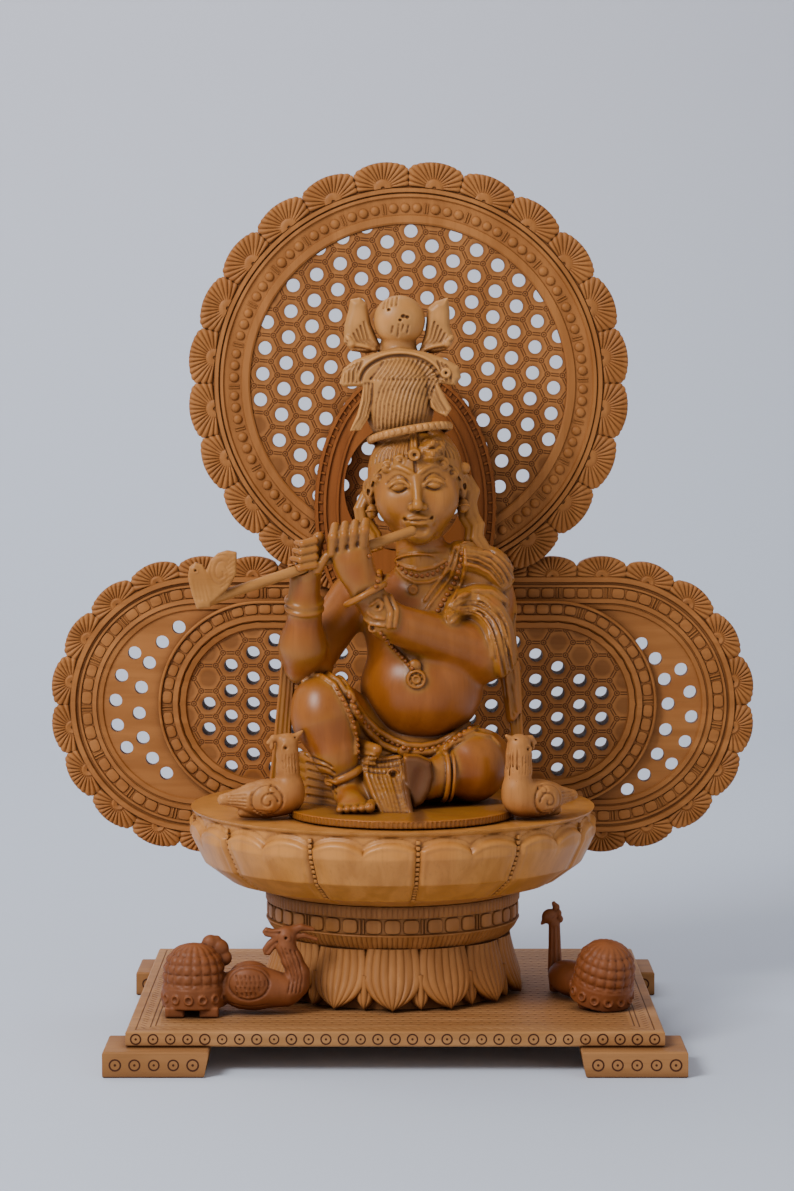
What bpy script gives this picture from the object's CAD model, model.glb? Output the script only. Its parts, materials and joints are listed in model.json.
"""Carved wooden flute player on a lotus seat: the looks, built round the packed model."""

import json
import math

import bpy
import numpy as np
from bpy.props import FloatProperty, FloatVectorProperty, IntProperty, PointerProperty
from mathutils import Matrix, Vector
from mathutils.geometry import delaunay_2d_cdt

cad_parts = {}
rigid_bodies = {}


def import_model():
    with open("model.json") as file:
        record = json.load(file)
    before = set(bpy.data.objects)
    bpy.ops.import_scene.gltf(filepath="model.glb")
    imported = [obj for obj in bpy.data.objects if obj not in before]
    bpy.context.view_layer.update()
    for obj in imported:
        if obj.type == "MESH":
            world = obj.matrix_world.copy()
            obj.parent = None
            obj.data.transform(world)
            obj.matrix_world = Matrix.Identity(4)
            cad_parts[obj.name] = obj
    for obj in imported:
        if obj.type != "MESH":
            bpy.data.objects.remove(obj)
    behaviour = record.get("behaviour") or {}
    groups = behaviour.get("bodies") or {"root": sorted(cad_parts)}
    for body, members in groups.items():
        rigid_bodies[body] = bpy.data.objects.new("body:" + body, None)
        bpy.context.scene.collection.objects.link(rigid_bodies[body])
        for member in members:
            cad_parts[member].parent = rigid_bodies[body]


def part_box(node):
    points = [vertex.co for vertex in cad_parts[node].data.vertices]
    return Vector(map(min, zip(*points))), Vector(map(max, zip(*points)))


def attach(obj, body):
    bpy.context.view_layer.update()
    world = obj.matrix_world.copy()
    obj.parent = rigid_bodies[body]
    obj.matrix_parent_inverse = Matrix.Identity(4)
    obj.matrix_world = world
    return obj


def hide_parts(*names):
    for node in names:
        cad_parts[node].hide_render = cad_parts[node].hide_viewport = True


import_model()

bl_info = {
    "name": "Carved wooden flute player",
    "version": (1, 0, 0),
    "blender": (4, 5, 0),
    "location": "View3D > Sidebar > Carving",
    "description": "Builds the carved, beaded and pierced pieces over the packed model",
    "category": "Add Mesh",
}

MM = 0.001
TAU = 2 * math.pi


def low_high(node):
    """Corners of a CAD node's box, in millimetres."""
    low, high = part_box(node)
    return np.array(low) / MM, np.array(high) / MM


class CarvingSizes(bpy.types.PropertyGroup):
    """Sizes of the carved detail."""

    hole_radius: FloatProperty(
        name="Hole radius",
        description="Radius of the drilled holes in the panels",
        default=0.0024,
        min=0.0005,
        unit="LENGTH",
    )
    hole_pitch: FloatProperty(
        name="Hole pitch",
        description="Distance between the centres of neighbouring holes",
        default=0.00924,
        min=0.004,
        unit="LENGTH",
    )
    scallop_ribs: IntProperty(
        name="Ribs in a scallop",
        description="Fine ribs that fan out over each scallop of the rims",
        default=15,
        min=5,
    )
    bead_radius: FloatProperty(
        name="Bead radius",
        description="Radius of the round beads in the disc's band",
        default=0.0018,
        min=0.0004,
        unit="LENGTH",
    )
    ring_dot_radius: FloatProperty(
        name="Ring-dot radius",
        description="Radius of the punched circles on the board, its feet and the scallops",
        default=0.0016,
        min=0.0004,
        unit="LENGTH",
    )
    figure_step: FloatProperty(
        name="Figure grain",
        description="Size of the cells that the figure's body is carved from",
        default=0.00038,
        min=0.0003,
        unit="LENGTH",
    )
    head_step: FloatProperty(
        name="Head grain",
        description="Size of the cells that the head and the crown are carved from",
        default=0.00031,
        min=0.0003,
        unit="LENGTH",
    )


def wood_colour(name, description, default):
    """A colour setting for one kind of wood."""
    return FloatVectorProperty(
        name=name,
        description=description,
        default=default,
        size=3,
        min=0,
        max=1,
        subtype="COLOR",
    )


class WoodFinishes(bpy.types.PropertyGroup):
    """Colours and polish of the woods."""

    board: wood_colour("Board", "Light dry wood of the board", (0.38, 0.178, 0.060))
    foot: wood_colour("Feet", "Wood of the four feet", (0.31, 0.136, 0.042))
    pedestal: wood_colour("Pedestal", "Wood of the petals and drum", (0.35, 0.142, 0.036))
    seat: wood_colour("Seat", "Yellow wood of the lotus seat", (0.49, 0.196, 0.038))
    panel: wood_colour("Panels", "Orange wood of the disc and panels", (0.35, 0.130, 0.029))
    halo: wood_colour("Halo", "Darker wood of the oval plate", (0.27, 0.080, 0.012))
    figure: wood_colour("Figure", "Dark polished wood of the figure", (0.285, 0.082, 0.009))
    cloth: wood_colour("Worked parts", "Yellower wood where the figure is cut finely",
                       (0.31, 0.118, 0.016))
    head: wood_colour("Head", "Lighter wood of the head", (0.36, 0.128, 0.020))
    crown: wood_colour("Crown", "Drier wood of the crown", (0.54, 0.238, 0.062))
    flute: wood_colour("Flute", "Pale wood of the flute", (0.40, 0.170, 0.040))
    seat_bird: wood_colour("Seat birds", "Plain wood of the small birds", (0.40, 0.160, 0.040))
    bird: wood_colour("Board birds", "Red wood of the birds on the board", (0.20, 0.062, 0.018))
    recess: wood_colour("Recess", "Dark stain in the grooves", (0.050, 0.012, 0.003))
    polish: FloatProperty(
        name="Polish",
        description="Wax polish on the figure, from none to full",
        default=0.25,
        min=0,
        max=1,
        subtype="FACTOR",
    )


# Sums on node sockets


class Value:
    """A number in a node tree that sums can be done on."""

    def __init__(self, tree, socket):
        self.tree = tree
        self.socket = socket

    def sum(self, operation, *others):
        """The result of one Math node on this number and the others."""
        node = self.tree.nodes.new("ShaderNodeMath")
        node.operation = operation
        for slot, item in zip(node.inputs, (self, *others), strict=False):
            if isinstance(item, Value):
                self.tree.links.new(item.socket, slot)
            else:
                slot.default_value = item
        return Value(self.tree, node.outputs[0])

    def __add__(self, other):
        return self.sum("ADD", other)

    def __sub__(self, other):
        return self.sum("SUBTRACT", other)

    def __mul__(self, other):
        return self.sum("MULTIPLY", other)

    def __truediv__(self, other):
        return self.sum("DIVIDE", other)

    def size(self):
        """This number without its sign."""
        return self.sum("ABSOLUTE")

    def least(self, other):
        """The smaller of two numbers."""
        return self.sum("MINIMUM", other)

    def most(self, other):
        """The larger of two numbers."""
        return self.sum("MAXIMUM", other)

    def hypot(self, other):
        """Length of a step with these two sides."""
        return (self * self + other * other).sum("SQRT")

    def wrapped(self, pitch):
        """This number's offset from the nearest multiple of the pitch."""
        return self.sum("WRAP", pitch / 2, -pitch / 2)

    def line(self, middle, width):
        """1 at the middle value, falling to 0 at half the width away."""
        away = (self - middle).size()
        node = self.tree.nodes.new("ShaderNodeMapRange")
        node.interpolation_type = "SMOOTHSTEP"
        self.tree.links.new(away.socket, node.inputs["Value"])
        node.inputs["From Min"].default_value = width / 2
        node.inputs["From Max"].default_value = width / 5
        return Value(self.tree, node.outputs[0])

    def step(self, low, high):
        """0 below low and 1 above high, with a soft change between."""
        node = self.tree.nodes.new("ShaderNodeMapRange")
        node.interpolation_type = "SMOOTHSTEP"
        self.tree.links.new(self.socket, node.inputs["Value"])
        node.inputs["From Min"].default_value = low
        node.inputs["From Max"].default_value = high
        return Value(self.tree, node.outputs[0])


def place_values(tree):
    """X, Y and Z of the surface in millimetres."""
    place = tree.nodes.new("ShaderNodeTexCoord")
    parts = tree.nodes.new("ShaderNodeSeparateXYZ")
    tree.links.new(place.outputs["Object"], parts.inputs[0])
    return [Value(tree, parts.outputs[axis]) / MM for axis in range(3)]


def honeycomb_marks(tree, centre, pitch, turn, shift, inside):
    """Engraved pairs of lines between ring-dots, round every hole of a honeycomb."""
    x, _, z = place_values(tree)
    across, up = x - centre[0] - shift[0], z - centre[1] - shift[1]
    c, s = math.cos(turn), math.sin(turn)
    a, b = across * c + up * s, up * c - across * s
    tall = pitch * math.sqrt(3)
    near = a.wrapped(pitch).hypot(b.wrapped(tall))
    a2, b2 = (a + pitch / 2).wrapped(pitch), (b + tall / 2).wrapped(tall)
    far = a2.hypot(b2)
    first = near.sum("LESS_THAN", far)
    second = first * -1 + 1
    u = (a.wrapped(pitch) * first + a2 * second).size()
    v = (b.wrapped(tall) * first + b2 * second).size()
    edge = u.most(u * 0.5 + v * math.sqrt(0.75))
    corner = u.hypot(v - pitch / math.sqrt(3))
    corner = corner.least((u - pitch / 2).hypot(v - pitch / math.sqrt(12)))
    lines = edge.line(pitch / 2 - 0.42, 0.62) * corner.step(1.15, 1.45)
    dots = corner.line(0.85, 0.6).most(corner.step(0.46, 0.28))
    stain = near.least(far).step(4.0, 2.3) * 0.5
    return lines.most(dots).most(stain) * inside(x - centre[0], z - centre[1])


def disc_marks(tree):
    """Honeycomb marks of the round disc, inside its plain ring."""
    size = bpy.context.scene.carving_sizes
    return honeycomb_marks(
        tree,
        DISC_CENTRE,
        size.hole_pitch / MM,
        DISC_TURN,
        DISC_SHIFT,
        lambda x, z: x.hypot(z).step(58.6, 57.6),
    )


def inner_marks(tree):
    """Honeycomb marks of the inner panel's field."""

    def inside(x, z):
        beyond = (x.size() - INNER_SPREAD).most(0)
        return beyond.hypot(z).step(27.6, 26.8)

    right = place_values(tree)[0].sum("GREATER_THAN", INNER_CENTRE[0])
    (_, left, _), (_, far, _) = INNER_FIELDS
    shift = [right * (far[k] - left[k]) + left[k] for k in range(2)]
    return honeycomb_marks(tree, INNER_CENTRE, INNER_PITCH, math.pi / 2, shift, inside)


def board_marks(tree):
    """Leaf border, double line and dashed rows on the board's top."""
    x, y, z = place_values(tree)
    low, high = low_high("base_board")
    middle, half = (low + high) / 2, (high - low) / 2
    u, v = (x - middle[0]).size(), (y - middle[1]).size()
    inset = ((u - half[0]) * -1).least((v - half[1]) * -1)
    along = (u - half[0]).sum("GREATER_THAN", v - half[1])
    run = y * along + x * (along * -1 + 1)
    slant = (run + inset * 1.3).wrapped(3.4).size()
    leaves = slant.line(0, 0.9) * inset.line(5.4, 2.6)
    frame_lines = inset.line(3.2, 0.55).most(inset.line(7.7, 0.6)).most(inset.line(9.3, 0.6))
    row = (y + 1.1).wrapped(3.3)
    cell = (x + (y / 3.3).sum("ROUND") * 2.6).wrapped(5.2)
    dash = row.line(0.6, 0.55).most(row.line(-0.6, 0.55)) * cell.size().step(2.35, 1.9)
    dots = (cell.size() - 2.6).size().hypot(row).step(0.7, 0.4)
    field = dash.most(dots) * inset.step(10.4, 11)
    return leaves.most(frame_lines).most(field) * z.step(high[2] - 0.6, high[2] - 0.3)


# Finishes


def wood_finish(name, colour, roughness, marks=None, grain=(0, 0, 1), polish=0.0, worked=None):
    """Procedural wood: long grain, fibres, red blotches, dark recesses and engraved marks."""
    finishes = bpy.context.scene.wood_finishes
    material = bpy.data.materials.new(name)
    material.use_nodes = True
    tree = material.node_tree
    nodes, links = tree.nodes, tree.links
    shader = nodes["Principled BSDF"]
    place = nodes.new("ShaderNodeTexCoord")

    def noise(scale, detail, stretch=None, distortion=0.0):
        source = place.outputs["Object"]
        if stretch:
            mapping = nodes.new("ShaderNodeMapping")
            mapping.inputs["Scale"].default_value = stretch
            links.new(source, mapping.inputs["Vector"])
            source = mapping.outputs[0]
        node = nodes.new("ShaderNodeTexNoise")
        node.inputs["Scale"].default_value = scale
        node.inputs["Detail"].default_value = detail
        node.inputs["Distortion"].default_value = distortion
        links.new(source, node.inputs["Vector"])
        return Value(tree, node.outputs[0])

    def mixed(factor, first, second, blend="MIX"):
        node = nodes.new("ShaderNodeMix")
        node.data_type = "RGBA"
        node.blend_type = blend
        if isinstance(factor, Value):
            links.new(factor.socket, node.inputs[0])
        else:
            node.inputs[0].default_value = factor
        for item, slot in ((first, node.inputs[6]), (second, node.inputs[7])):
            if isinstance(item, tuple):
                slot.default_value = (*item, 1)
            else:
                links.new(item, slot)
        return node.outputs[2]

    along = [0.12 if g else 1.0 for g in grain]
    bands = noise(170, 3, along, 0.6)
    fibres = noise(1100, 2, [0.05 if g else 1.0 for g in grain])
    patches = noise(22, 3)
    base = tuple(colour)
    light = tuple(min(1, c * s) for c, s in zip(base, (1.13, 1.15, 1.22), strict=True))
    dark = tuple(c * s for c, s in zip(base, (0.88, 0.84, 0.76), strict=True))
    tone = mixed(bands.step(0.32, 0.68), dark, light)
    red = tuple(c * s for c, s in zip(base, (0.98, 0.80, 0.66), strict=True))
    tone = mixed(patches.step(0.50, 0.72) * 0.35, tone, red)
    if worked:
        fine = nodes.new("ShaderNodeAttribute")
        fine.attribute_name = "worked"
        tone = mixed(Value(tree, fine.outputs["Fac"]).step(0.02, 0.09), tone, tuple(worked))
    fibre_dark = tuple(c * 0.72 for c in base)
    tone = mixed(fibres.step(0.52, 0.75) * 0.35, tone, fibre_dark)

    shade = nodes.new("ShaderNodeAmbientOcclusion")
    shade.samples = 5
    shade.inputs["Distance"].default_value = 0.005
    hollow = Value(tree, shade.outputs["AO"]).step(0.9, 0.3)
    carve = nodes.new("ShaderNodeAttribute")
    carve.attribute_name = "hollow"
    depth = Value(tree, carve.outputs["Fac"])
    hollow = (hollow * 0.8).most(depth.step(0.03, 0.32) * 0.9)
    worn = depth.step(-0.04, -0.34) * 0.4
    tone = mixed(worn, tone, tuple(min(1, c * 1.5) for c in base))
    relief = fibres * 0.35 + bands * 0.4
    if marks:
        cut = marks(tree)
        hollow = hollow.most(cut * 0.85)
        relief = relief - cut * 3.2
    tone = mixed(hollow * 0.92, tone, tuple(finishes.recess))
    links.new(tone, shader.inputs["Base Color"])
    rough = (bands * 0.16 + hollow * 0.25) + (roughness - 0.08)
    links.new(rough.socket, shader.inputs["Roughness"])
    shader.inputs["Specular IOR Level"].default_value = 0.26
    shader.inputs["Coat Weight"].default_value = polish
    shader.inputs["Coat Roughness"].default_value = 0.32
    bump = nodes.new("ShaderNodeBump")
    bump.inputs["Strength"].default_value = 0.5
    bump.inputs["Distance"].default_value = 0.00016
    links.new(relief.socket, bump.inputs["Height"])
    links.new(bump.outputs[0], shader.inputs["Normal"])
    return material


# Forms made of points and faces


def grid(rows, columns, wrap_rows=False, wrap_columns=False):
    """Quads between rows and columns of points, with the last joined to the first on request."""
    r = np.arange(rows if wrap_rows else rows - 1)[:, None]
    c = np.arange(columns if wrap_columns else columns - 1)[None, :]
    r2, c2 = (r + 1) % rows, (c + 1) % columns
    corners = (r * columns + c, r * columns + c2, r2 * columns + c2, r2 * columns + c)
    return np.stack(np.broadcast_arrays(*corners), -1).reshape(-1, 4)


class Shell:
    """Closed forms in millimetres, gathered before they become one mesh."""

    def __init__(self):
        self.points = []
        self.faces = []
        self.count = 0

    def add(self, points, *faces):
        """Adds one closed form, turned so that its faces point outwards."""
        points = np.asarray(points, float).reshape(-1, 3)
        faces = [np.asarray(f, int) for f in faces if len(f)]
        volume = 0.0
        for corners in faces:
            first = points[corners[:, 0]]
            for k in range(1, corners.shape[1] - 1):
                across = np.cross(points[corners[:, k]], points[corners[:, k + 1]])
                volume += (first * across).sum()
        if volume < 0:
            faces = [f[:, ::-1] for f in faces]
        self.points.append(points)
        self.faces.extend(f + self.count for f in faces)
        self.count += len(points)
        return self

    def mesh(self, name, crease=40):
        """One mesh of all the forms, smooth except at edges sharper than the crease angle."""
        mesh = bpy.data.meshes.new(name)
        points = np.concatenate(self.points) * MM
        corners = np.concatenate([f.ravel() for f in self.faces]).astype(np.int32)
        sizes = np.concatenate([np.full(len(f), f.shape[1]) for f in self.faces])
        starts = np.concatenate([[0], np.cumsum(sizes)[:-1]]).astype(np.int32)
        mesh.vertices.add(len(points))
        mesh.vertices.foreach_set("co", points.astype(np.float32).ravel())
        mesh.loops.add(len(corners))
        mesh.loops.foreach_set("vertex_index", corners)
        mesh.polygons.add(len(starts))
        mesh.polygons.foreach_set("loop_start", starts)
        mesh.update(calc_edges=True)
        mesh.polygons.foreach_set("use_smooth", np.ones(len(starts), bool))
        mesh.set_sharp_from_angle(angle=math.radians(crease))
        return mesh


def tube(path_feet, path_out, section, front):
    """A rail round a closed path: section rows are [out, forward], forward of the front plane."""
    section = np.asarray(section, float)
    if section.ndim == 2:
        section = np.repeat(section[:, None, :], len(path_feet), 1)
    places = path_feet[None] + path_out[None] * section[..., :1]
    points = np.stack([places[..., 0], front - section[..., 1], places[..., 1]], -1)
    rows, columns = section.shape[:2]
    return points, grid(rows, columns, True, True)


def stadium_walk(shares, spread, radius, centre):
    """Feet on the middle line and outward directions, walked clockwise from the left end."""
    shares = np.asarray(shares, float) % 1
    quarter, straight = math.pi * radius / 2, 2 * spread
    walk = shares * (4 * quarter + 2 * straight)
    feet, out = np.zeros((len(walk), 2)), np.zeros((len(walk), 2))
    for i, w in enumerate(walk):
        if w < quarter:
            x, angle = -spread, math.pi - w / radius
        elif w < quarter + straight:
            x, angle = -spread + w - quarter, math.pi / 2
        elif w < 3 * quarter + straight:
            x, angle = spread, math.pi / 2 - (w - quarter - straight) / radius
        elif w < 3 * quarter + 2 * straight:
            x, angle = spread - (w - 3 * quarter - straight), -math.pi / 2
        else:
            x, angle = -spread, 1.5 * math.pi - (w - 3 * quarter - 2 * straight) / radius
        feet[i] = centre[0] + x, centre[1]
        out[i] = math.cos(angle), math.sin(angle)
    return feet, out


def slab(shell, outline, holes, front, back):
    """Adds a flat board with rounded holes through it: two faces and the walls between."""
    loops = [np.asarray(loop, float) for loop in (outline, *holes)]
    edges, start = [], 0
    for loop in loops:
        n = len(loop)
        edges += [(start + i, start + (i + 1) % n) for i in range(n)]
        start += n
    flat = [Vector(p) for p in np.concatenate(loops)]
    found = delaunay_2d_cdt(flat, edges, [], 1, 1e-5)
    places, faces = np.array([tuple(v) for v in found[0]]), np.array(found[2], int)
    owner = np.repeat(np.arange(len(loops)), [len(loop) for loop in loops])
    owner = owner[[source[0] for source in found[3]]][faces]
    in_hole = (owner[:, 0] > 0) & (owner == owner[:, :1]).all(1)
    faces = faces[~in_hole]
    directed = {(int(a), int(b)) for f in faces for a, b in zip(f, np.roll(f, -1), strict=True)}
    n = len(places)
    walls = [(j, i, i + n, j + n) for i, j in sorted(directed) if (j, i) not in directed]
    x, z = places.T
    points = np.concatenate(
        [np.stack([x, np.full(n, y), z], -1) for y in (front, back)]
    )
    shell.add(points, np.concatenate([faces, faces[:, ::-1] + n]), walls)


def turned_form(shell, profile, sides, centre, reshape=None):
    """Adds a form turned about an upright axis; the profile runs from axis to axis."""
    profile = np.asarray(profile, float)
    angle = np.arange(sides) * TAU / sides
    r = np.repeat(profile[1:-1, :1], sides, 1)
    z = np.repeat(profile[1:-1, 1:], sides, 1)
    if reshape:
        r, z = reshape(r, z, angle[None])
    points = np.stack([r * np.cos(angle), r * np.sin(angle), z], -1).reshape(-1, 3)
    rows = len(profile) - 2
    ends = [(0, 0, profile[0, 1]), (0, 0, profile[-1, 1])]
    points = np.concatenate([points, ends]) + [centre[0], centre[1], 0]
    ring = np.arange(sides)
    after = (ring + 1) % sides
    low, high = rows * sides, rows * sides + 1
    last = (rows - 1) * sides
    caps = np.concatenate(
        [
            np.stack([after, ring, np.full(sides, low)], -1),
            np.stack([last + ring, last + after, np.full(sides, high)], -1),
        ]
    )
    shell.add(points, grid(rows, sides, False, True), caps)


def finished(name, mesh, wood, slot, *nodes):
    """Puts a finished mesh in the scene as a piece that stands for CAD nodes."""
    if wood:
        mesh.materials.clear()
        mesh.materials.append(wood)
    piece = bpy.data.objects.new(name, mesh)
    bpy.context.scene.collection.objects.link(piece)
    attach(piece, "root")
    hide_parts(*nodes)
    return piece


# Copies of a small form


def new_tree(name, sockets):
    """An empty geometry tree with named inputs, and its two end nodes."""
    tree = bpy.data.node_groups.new(name, "GeometryNodeTree")
    tree.interface.new_socket("Geometry", in_out="OUTPUT", socket_type="NodeSocketGeometry")
    for label, kind in sockets:
        tree.interface.new_socket(label, in_out="INPUT", socket_type=kind)
    return tree, tree.nodes.new("NodeGroupInput"), tree.nodes.new("NodeGroupOutput")


def copies_tree():
    """Sets a stamp on every point, turned and sized by the point's own values."""
    found = bpy.data.node_groups.get("Copies on points")
    if found:
        return found
    tree, given, result = new_tree(
        "Copies on points",
        [
            ("Points", "NodeSocketGeometry"),
            ("Stamp", "NodeSocketObject"),
            ("Unevenness", "NodeSocketFloat"),
            ("Wood", "NodeSocketMaterial"),
        ],
    )
    link = tree.links.new
    stamp = tree.nodes.new("GeometryNodeObjectInfo")
    link(given.outputs["Stamp"], stamp.inputs["Object"])
    turn = tree.nodes.new("GeometryNodeInputNamedAttribute")
    turn.data_type = "FLOAT_VECTOR"
    turn.inputs["Name"].default_value = "turn"
    size = tree.nodes.new("GeometryNodeInputNamedAttribute")
    size.data_type = "FLOAT_VECTOR"
    size.inputs["Name"].default_value = "size"
    chance = tree.nodes.new("FunctionNodeRandomValue")
    chance.data_type = "FLOAT"
    chance.inputs["Seed"].default_value = 7
    low = tree.nodes.new("ShaderNodeMath")
    low.operation = "SUBTRACT"
    low.inputs[0].default_value = 1
    link(given.outputs["Unevenness"], low.inputs[1])
    link(low.outputs[0], chance.inputs[2])
    high = tree.nodes.new("ShaderNodeMath")
    high.operation = "ADD"
    high.inputs[0].default_value = 1
    link(given.outputs["Unevenness"], high.inputs[1])
    link(high.outputs[0], chance.inputs[3])
    scaled = tree.nodes.new("ShaderNodeVectorMath")
    scaled.operation = "SCALE"
    link(size.outputs["Attribute"], scaled.inputs[0])
    link(chance.outputs[1], scaled.inputs["Scale"])
    copies = tree.nodes.new("GeometryNodeInstanceOnPoints")
    link(given.outputs["Points"], copies.inputs["Points"])
    link(stamp.outputs["Geometry"], copies.inputs["Instance"])
    link(turn.outputs["Attribute"], copies.inputs["Rotation"])
    link(scaled.outputs[0], copies.inputs["Scale"])
    real = tree.nodes.new("GeometryNodeRealizeInstances")
    link(copies.outputs[0], real.inputs[0])
    dressed = tree.nodes.new("GeometryNodeSetMaterial")
    link(real.outputs[0], dressed.inputs["Geometry"])
    link(given.outputs["Wood"], dressed.inputs["Material"])
    link(dressed.outputs[0], result.inputs[0])
    return tree


def grown(name, mesh, tree, inputs, slot, *nodes):
    """Runs a geometry tree on a mesh and keeps the result as a plain piece."""
    carrier = bpy.data.objects.new(name, mesh)
    bpy.context.scene.collection.objects.link(carrier)
    modifier = carrier.modifiers.new("Copies", "NODES")
    modifier.node_group = tree
    sockets = {
        item.name: item.identifier
        for item in tree.interface.items_tree
        if item.in_out == "INPUT"
    }
    for label, value in inputs.items():
        modifier[sockets[label]] = value
    carrier.update_tag()
    graph = bpy.context.evaluated_depsgraph_get()
    made = bpy.data.meshes.new_from_object(carrier.evaluated_get(graph), depsgraph=graph)
    made.name = name
    bpy.data.objects.remove(carrier)
    if not made.polygons:
        raise RuntimeError(f"{name} came out empty")
    return finished(name, made, None, slot, *nodes)


def stamp_object(name, shell, crease=40):
    """A small form that the trees copy; it is removed when they have run."""
    found = bpy.data.objects.get(name)
    if found:
        return found
    stamp = bpy.data.objects.new(name, shell.mesh(name, crease))
    bpy.context.scene.collection.objects.link(stamp)
    stamp["is_stamp"] = True
    return stamp


def copied(name, stamp, places, turns, sizes, wood, slot, *nodes, unevenness=0.05):
    """Copies a stamp to places in millimetres, with Euler turns and sizes."""
    places = np.asarray(places, float)
    mesh = bpy.data.meshes.new(name)
    mesh.vertices.add(len(places))
    mesh.vertices.foreach_set("co", (places * MM).astype(np.float32).ravel())
    sizes = np.broadcast_to(np.asarray(sizes, float).reshape(-1, 1) if np.ndim(sizes) < 2
                            else sizes, (len(places), 3))
    for label, values in (("turn", turns), ("size", sizes)):
        attribute = mesh.attributes.new(label, "FLOAT_VECTOR", "POINT")
        values = np.ascontiguousarray(values, np.float32)
        attribute.data.foreach_set("vector", values.ravel())
    inputs = {"Stamp": stamp, "Unevenness": unevenness, "Wood": wood}
    return grown(name, mesh, copies_tree(), inputs, slot, *nodes)


def upright_turns(out):
    """Turns that stand a stamp's Z along outward directions in the X-Z plane."""
    turns = np.zeros((len(out), 3))
    turns[:, 1] = math.pi / 2 - np.arctan2(out[:, 1], out[:, 0])
    return turns


def facing_turns(normals, ups=None):
    """Turns that point a stamp's front, its -Y, along the normals."""
    turns = []
    for i, normal in enumerate(np.asarray(normals, float)):
        back = -Vector(normal).normalized()
        up = Vector(ups[i]) if ups is not None else Vector((0, 0, 1))
        side = back.cross(up)
        side = side.normalized() if side.length > 1e-4 else Vector((1, 0, 0))
        top = side.cross(back).normalized()
        turns.append(tuple(Matrix((side, back, top)).transposed().to_euler("XYZ")))
    return np.array(turns)


# Stamps, made at the origin with their front at -Y and their outer side at +Z


def bead_stamp():
    """Low round bead, 1 mm in radius."""
    shell = Shell()
    angle = np.arange(12) * TAU / 12
    rings = [(1.0, 0.5), (0.98, 0.0), (0.86, -0.32), (0.55, -0.56), (0.2, -0.64)]
    points = [(r * math.cos(a), y, r * math.sin(a)) for r, y in rings for a in angle]
    points += [(0, 0.5, 0), (0, -0.65, 0)]
    ring = np.arange(12)
    after = (ring + 1) % 12
    caps = [np.stack([after, ring, np.full(12, 60)], -1)]
    caps.append(np.stack([48 + ring, 48 + after, np.full(12, 61)], -1))
    shell.add(points, grid(5, 12, False, True), np.concatenate(caps))
    return stamp_object("stamp_bead", shell)


def pad_stamp():
    """Cushion-shaped bead, 2 mm wide and 2 mm high."""
    shell = Shell()
    count = 16
    angle = (np.arange(count) + 0.5) * TAU / count
    wide = np.sign(np.cos(angle)) * np.abs(np.cos(angle)) ** 0.5
    high = np.sign(np.sin(angle)) * np.abs(np.sin(angle)) ** 0.5
    rings = [(1.0, 0.5), (1.0, -0.02), (0.9, -0.26), (0.62, -0.36)]
    points = [(r * w, y, r * h) for r, y in rings for w, h in zip(wide, high, strict=True)]
    points += [(0, 0.5, 0), (0, -0.38, 0)]
    ring = np.arange(count)
    after = (ring + 1) % count
    low, top = 4 * count, 4 * count + 1
    caps = [np.stack([after, ring, np.full(count, low)], -1)]
    caps.append(np.stack([3 * count + ring, 3 * count + after, np.full(count, top)], -1))
    shell.add(points, grid(4, count, False, True), np.concatenate(caps))
    return stamp_object("stamp_pad", shell)


def bar_stamp():
    """Thin ridge, 1 mm wide and 2 mm high, with bevelled edges."""
    shell = Shell()
    ring = [(-0.5, 0.5), (-0.5, -0.15), (-0.2, -0.42), (0.2, -0.42), (0.5, -0.15), (0.5, 0.5)]
    rows = [(-1.0, 0.7), (-0.85, 1.0), (0.85, 1.0), (1.0, 0.7)]
    points = [(x * s, y, z) for z, s in rows for x, y in ring]
    ends = [(0, 1, 2, 3), (0, 3, 4, 5), (21, 20, 19, 18), (23, 22, 21, 18)]
    shell.add(points, grid(4, 6, False, True), np.array(ends))
    return stamp_object("stamp_bar", shell, 30)


def ring_dot_stamp():
    """Punched circle with a centre dot, 1 mm in radius, standing a hair proud."""
    shell = Shell()
    sides = 16
    angle = np.arange(sides) * TAU / sides
    section = [(0.86, 0.1), (0.86, -0.05), (1.0, -0.07), (1.14, -0.05), (1.14, 0.1)]
    points = [(r * math.cos(a), y, r * math.sin(a)) for r, y in section for a in angle]
    shell.add(points, grid(5, sides, True, True))
    dot = [(0.0, 0.1), (0.24, 0.1), (0.24, -0.05), (0.0, -0.08)]
    r = np.array([p[0] for p in dot[1:3]])
    rim = [(q * math.cos(a), y, q * math.sin(a)) for q, y in dot[1:3] for a in angle[::2]]
    n = sides // 2
    ring = np.arange(n)
    after = (ring + 1) % n
    caps = [np.stack([after, ring, np.full(n, 2 * n)], -1)]
    caps.append(np.stack([n + ring, n + after, np.full(n, 2 * n + 1)], -1))
    shell.add([*rim, (0, 0.1, 0), (0, -0.08, 0)], grid(len(r), n, False, True), np.concatenate(caps))
    return stamp_object("stamp_ring_dot", shell, 60)


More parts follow.
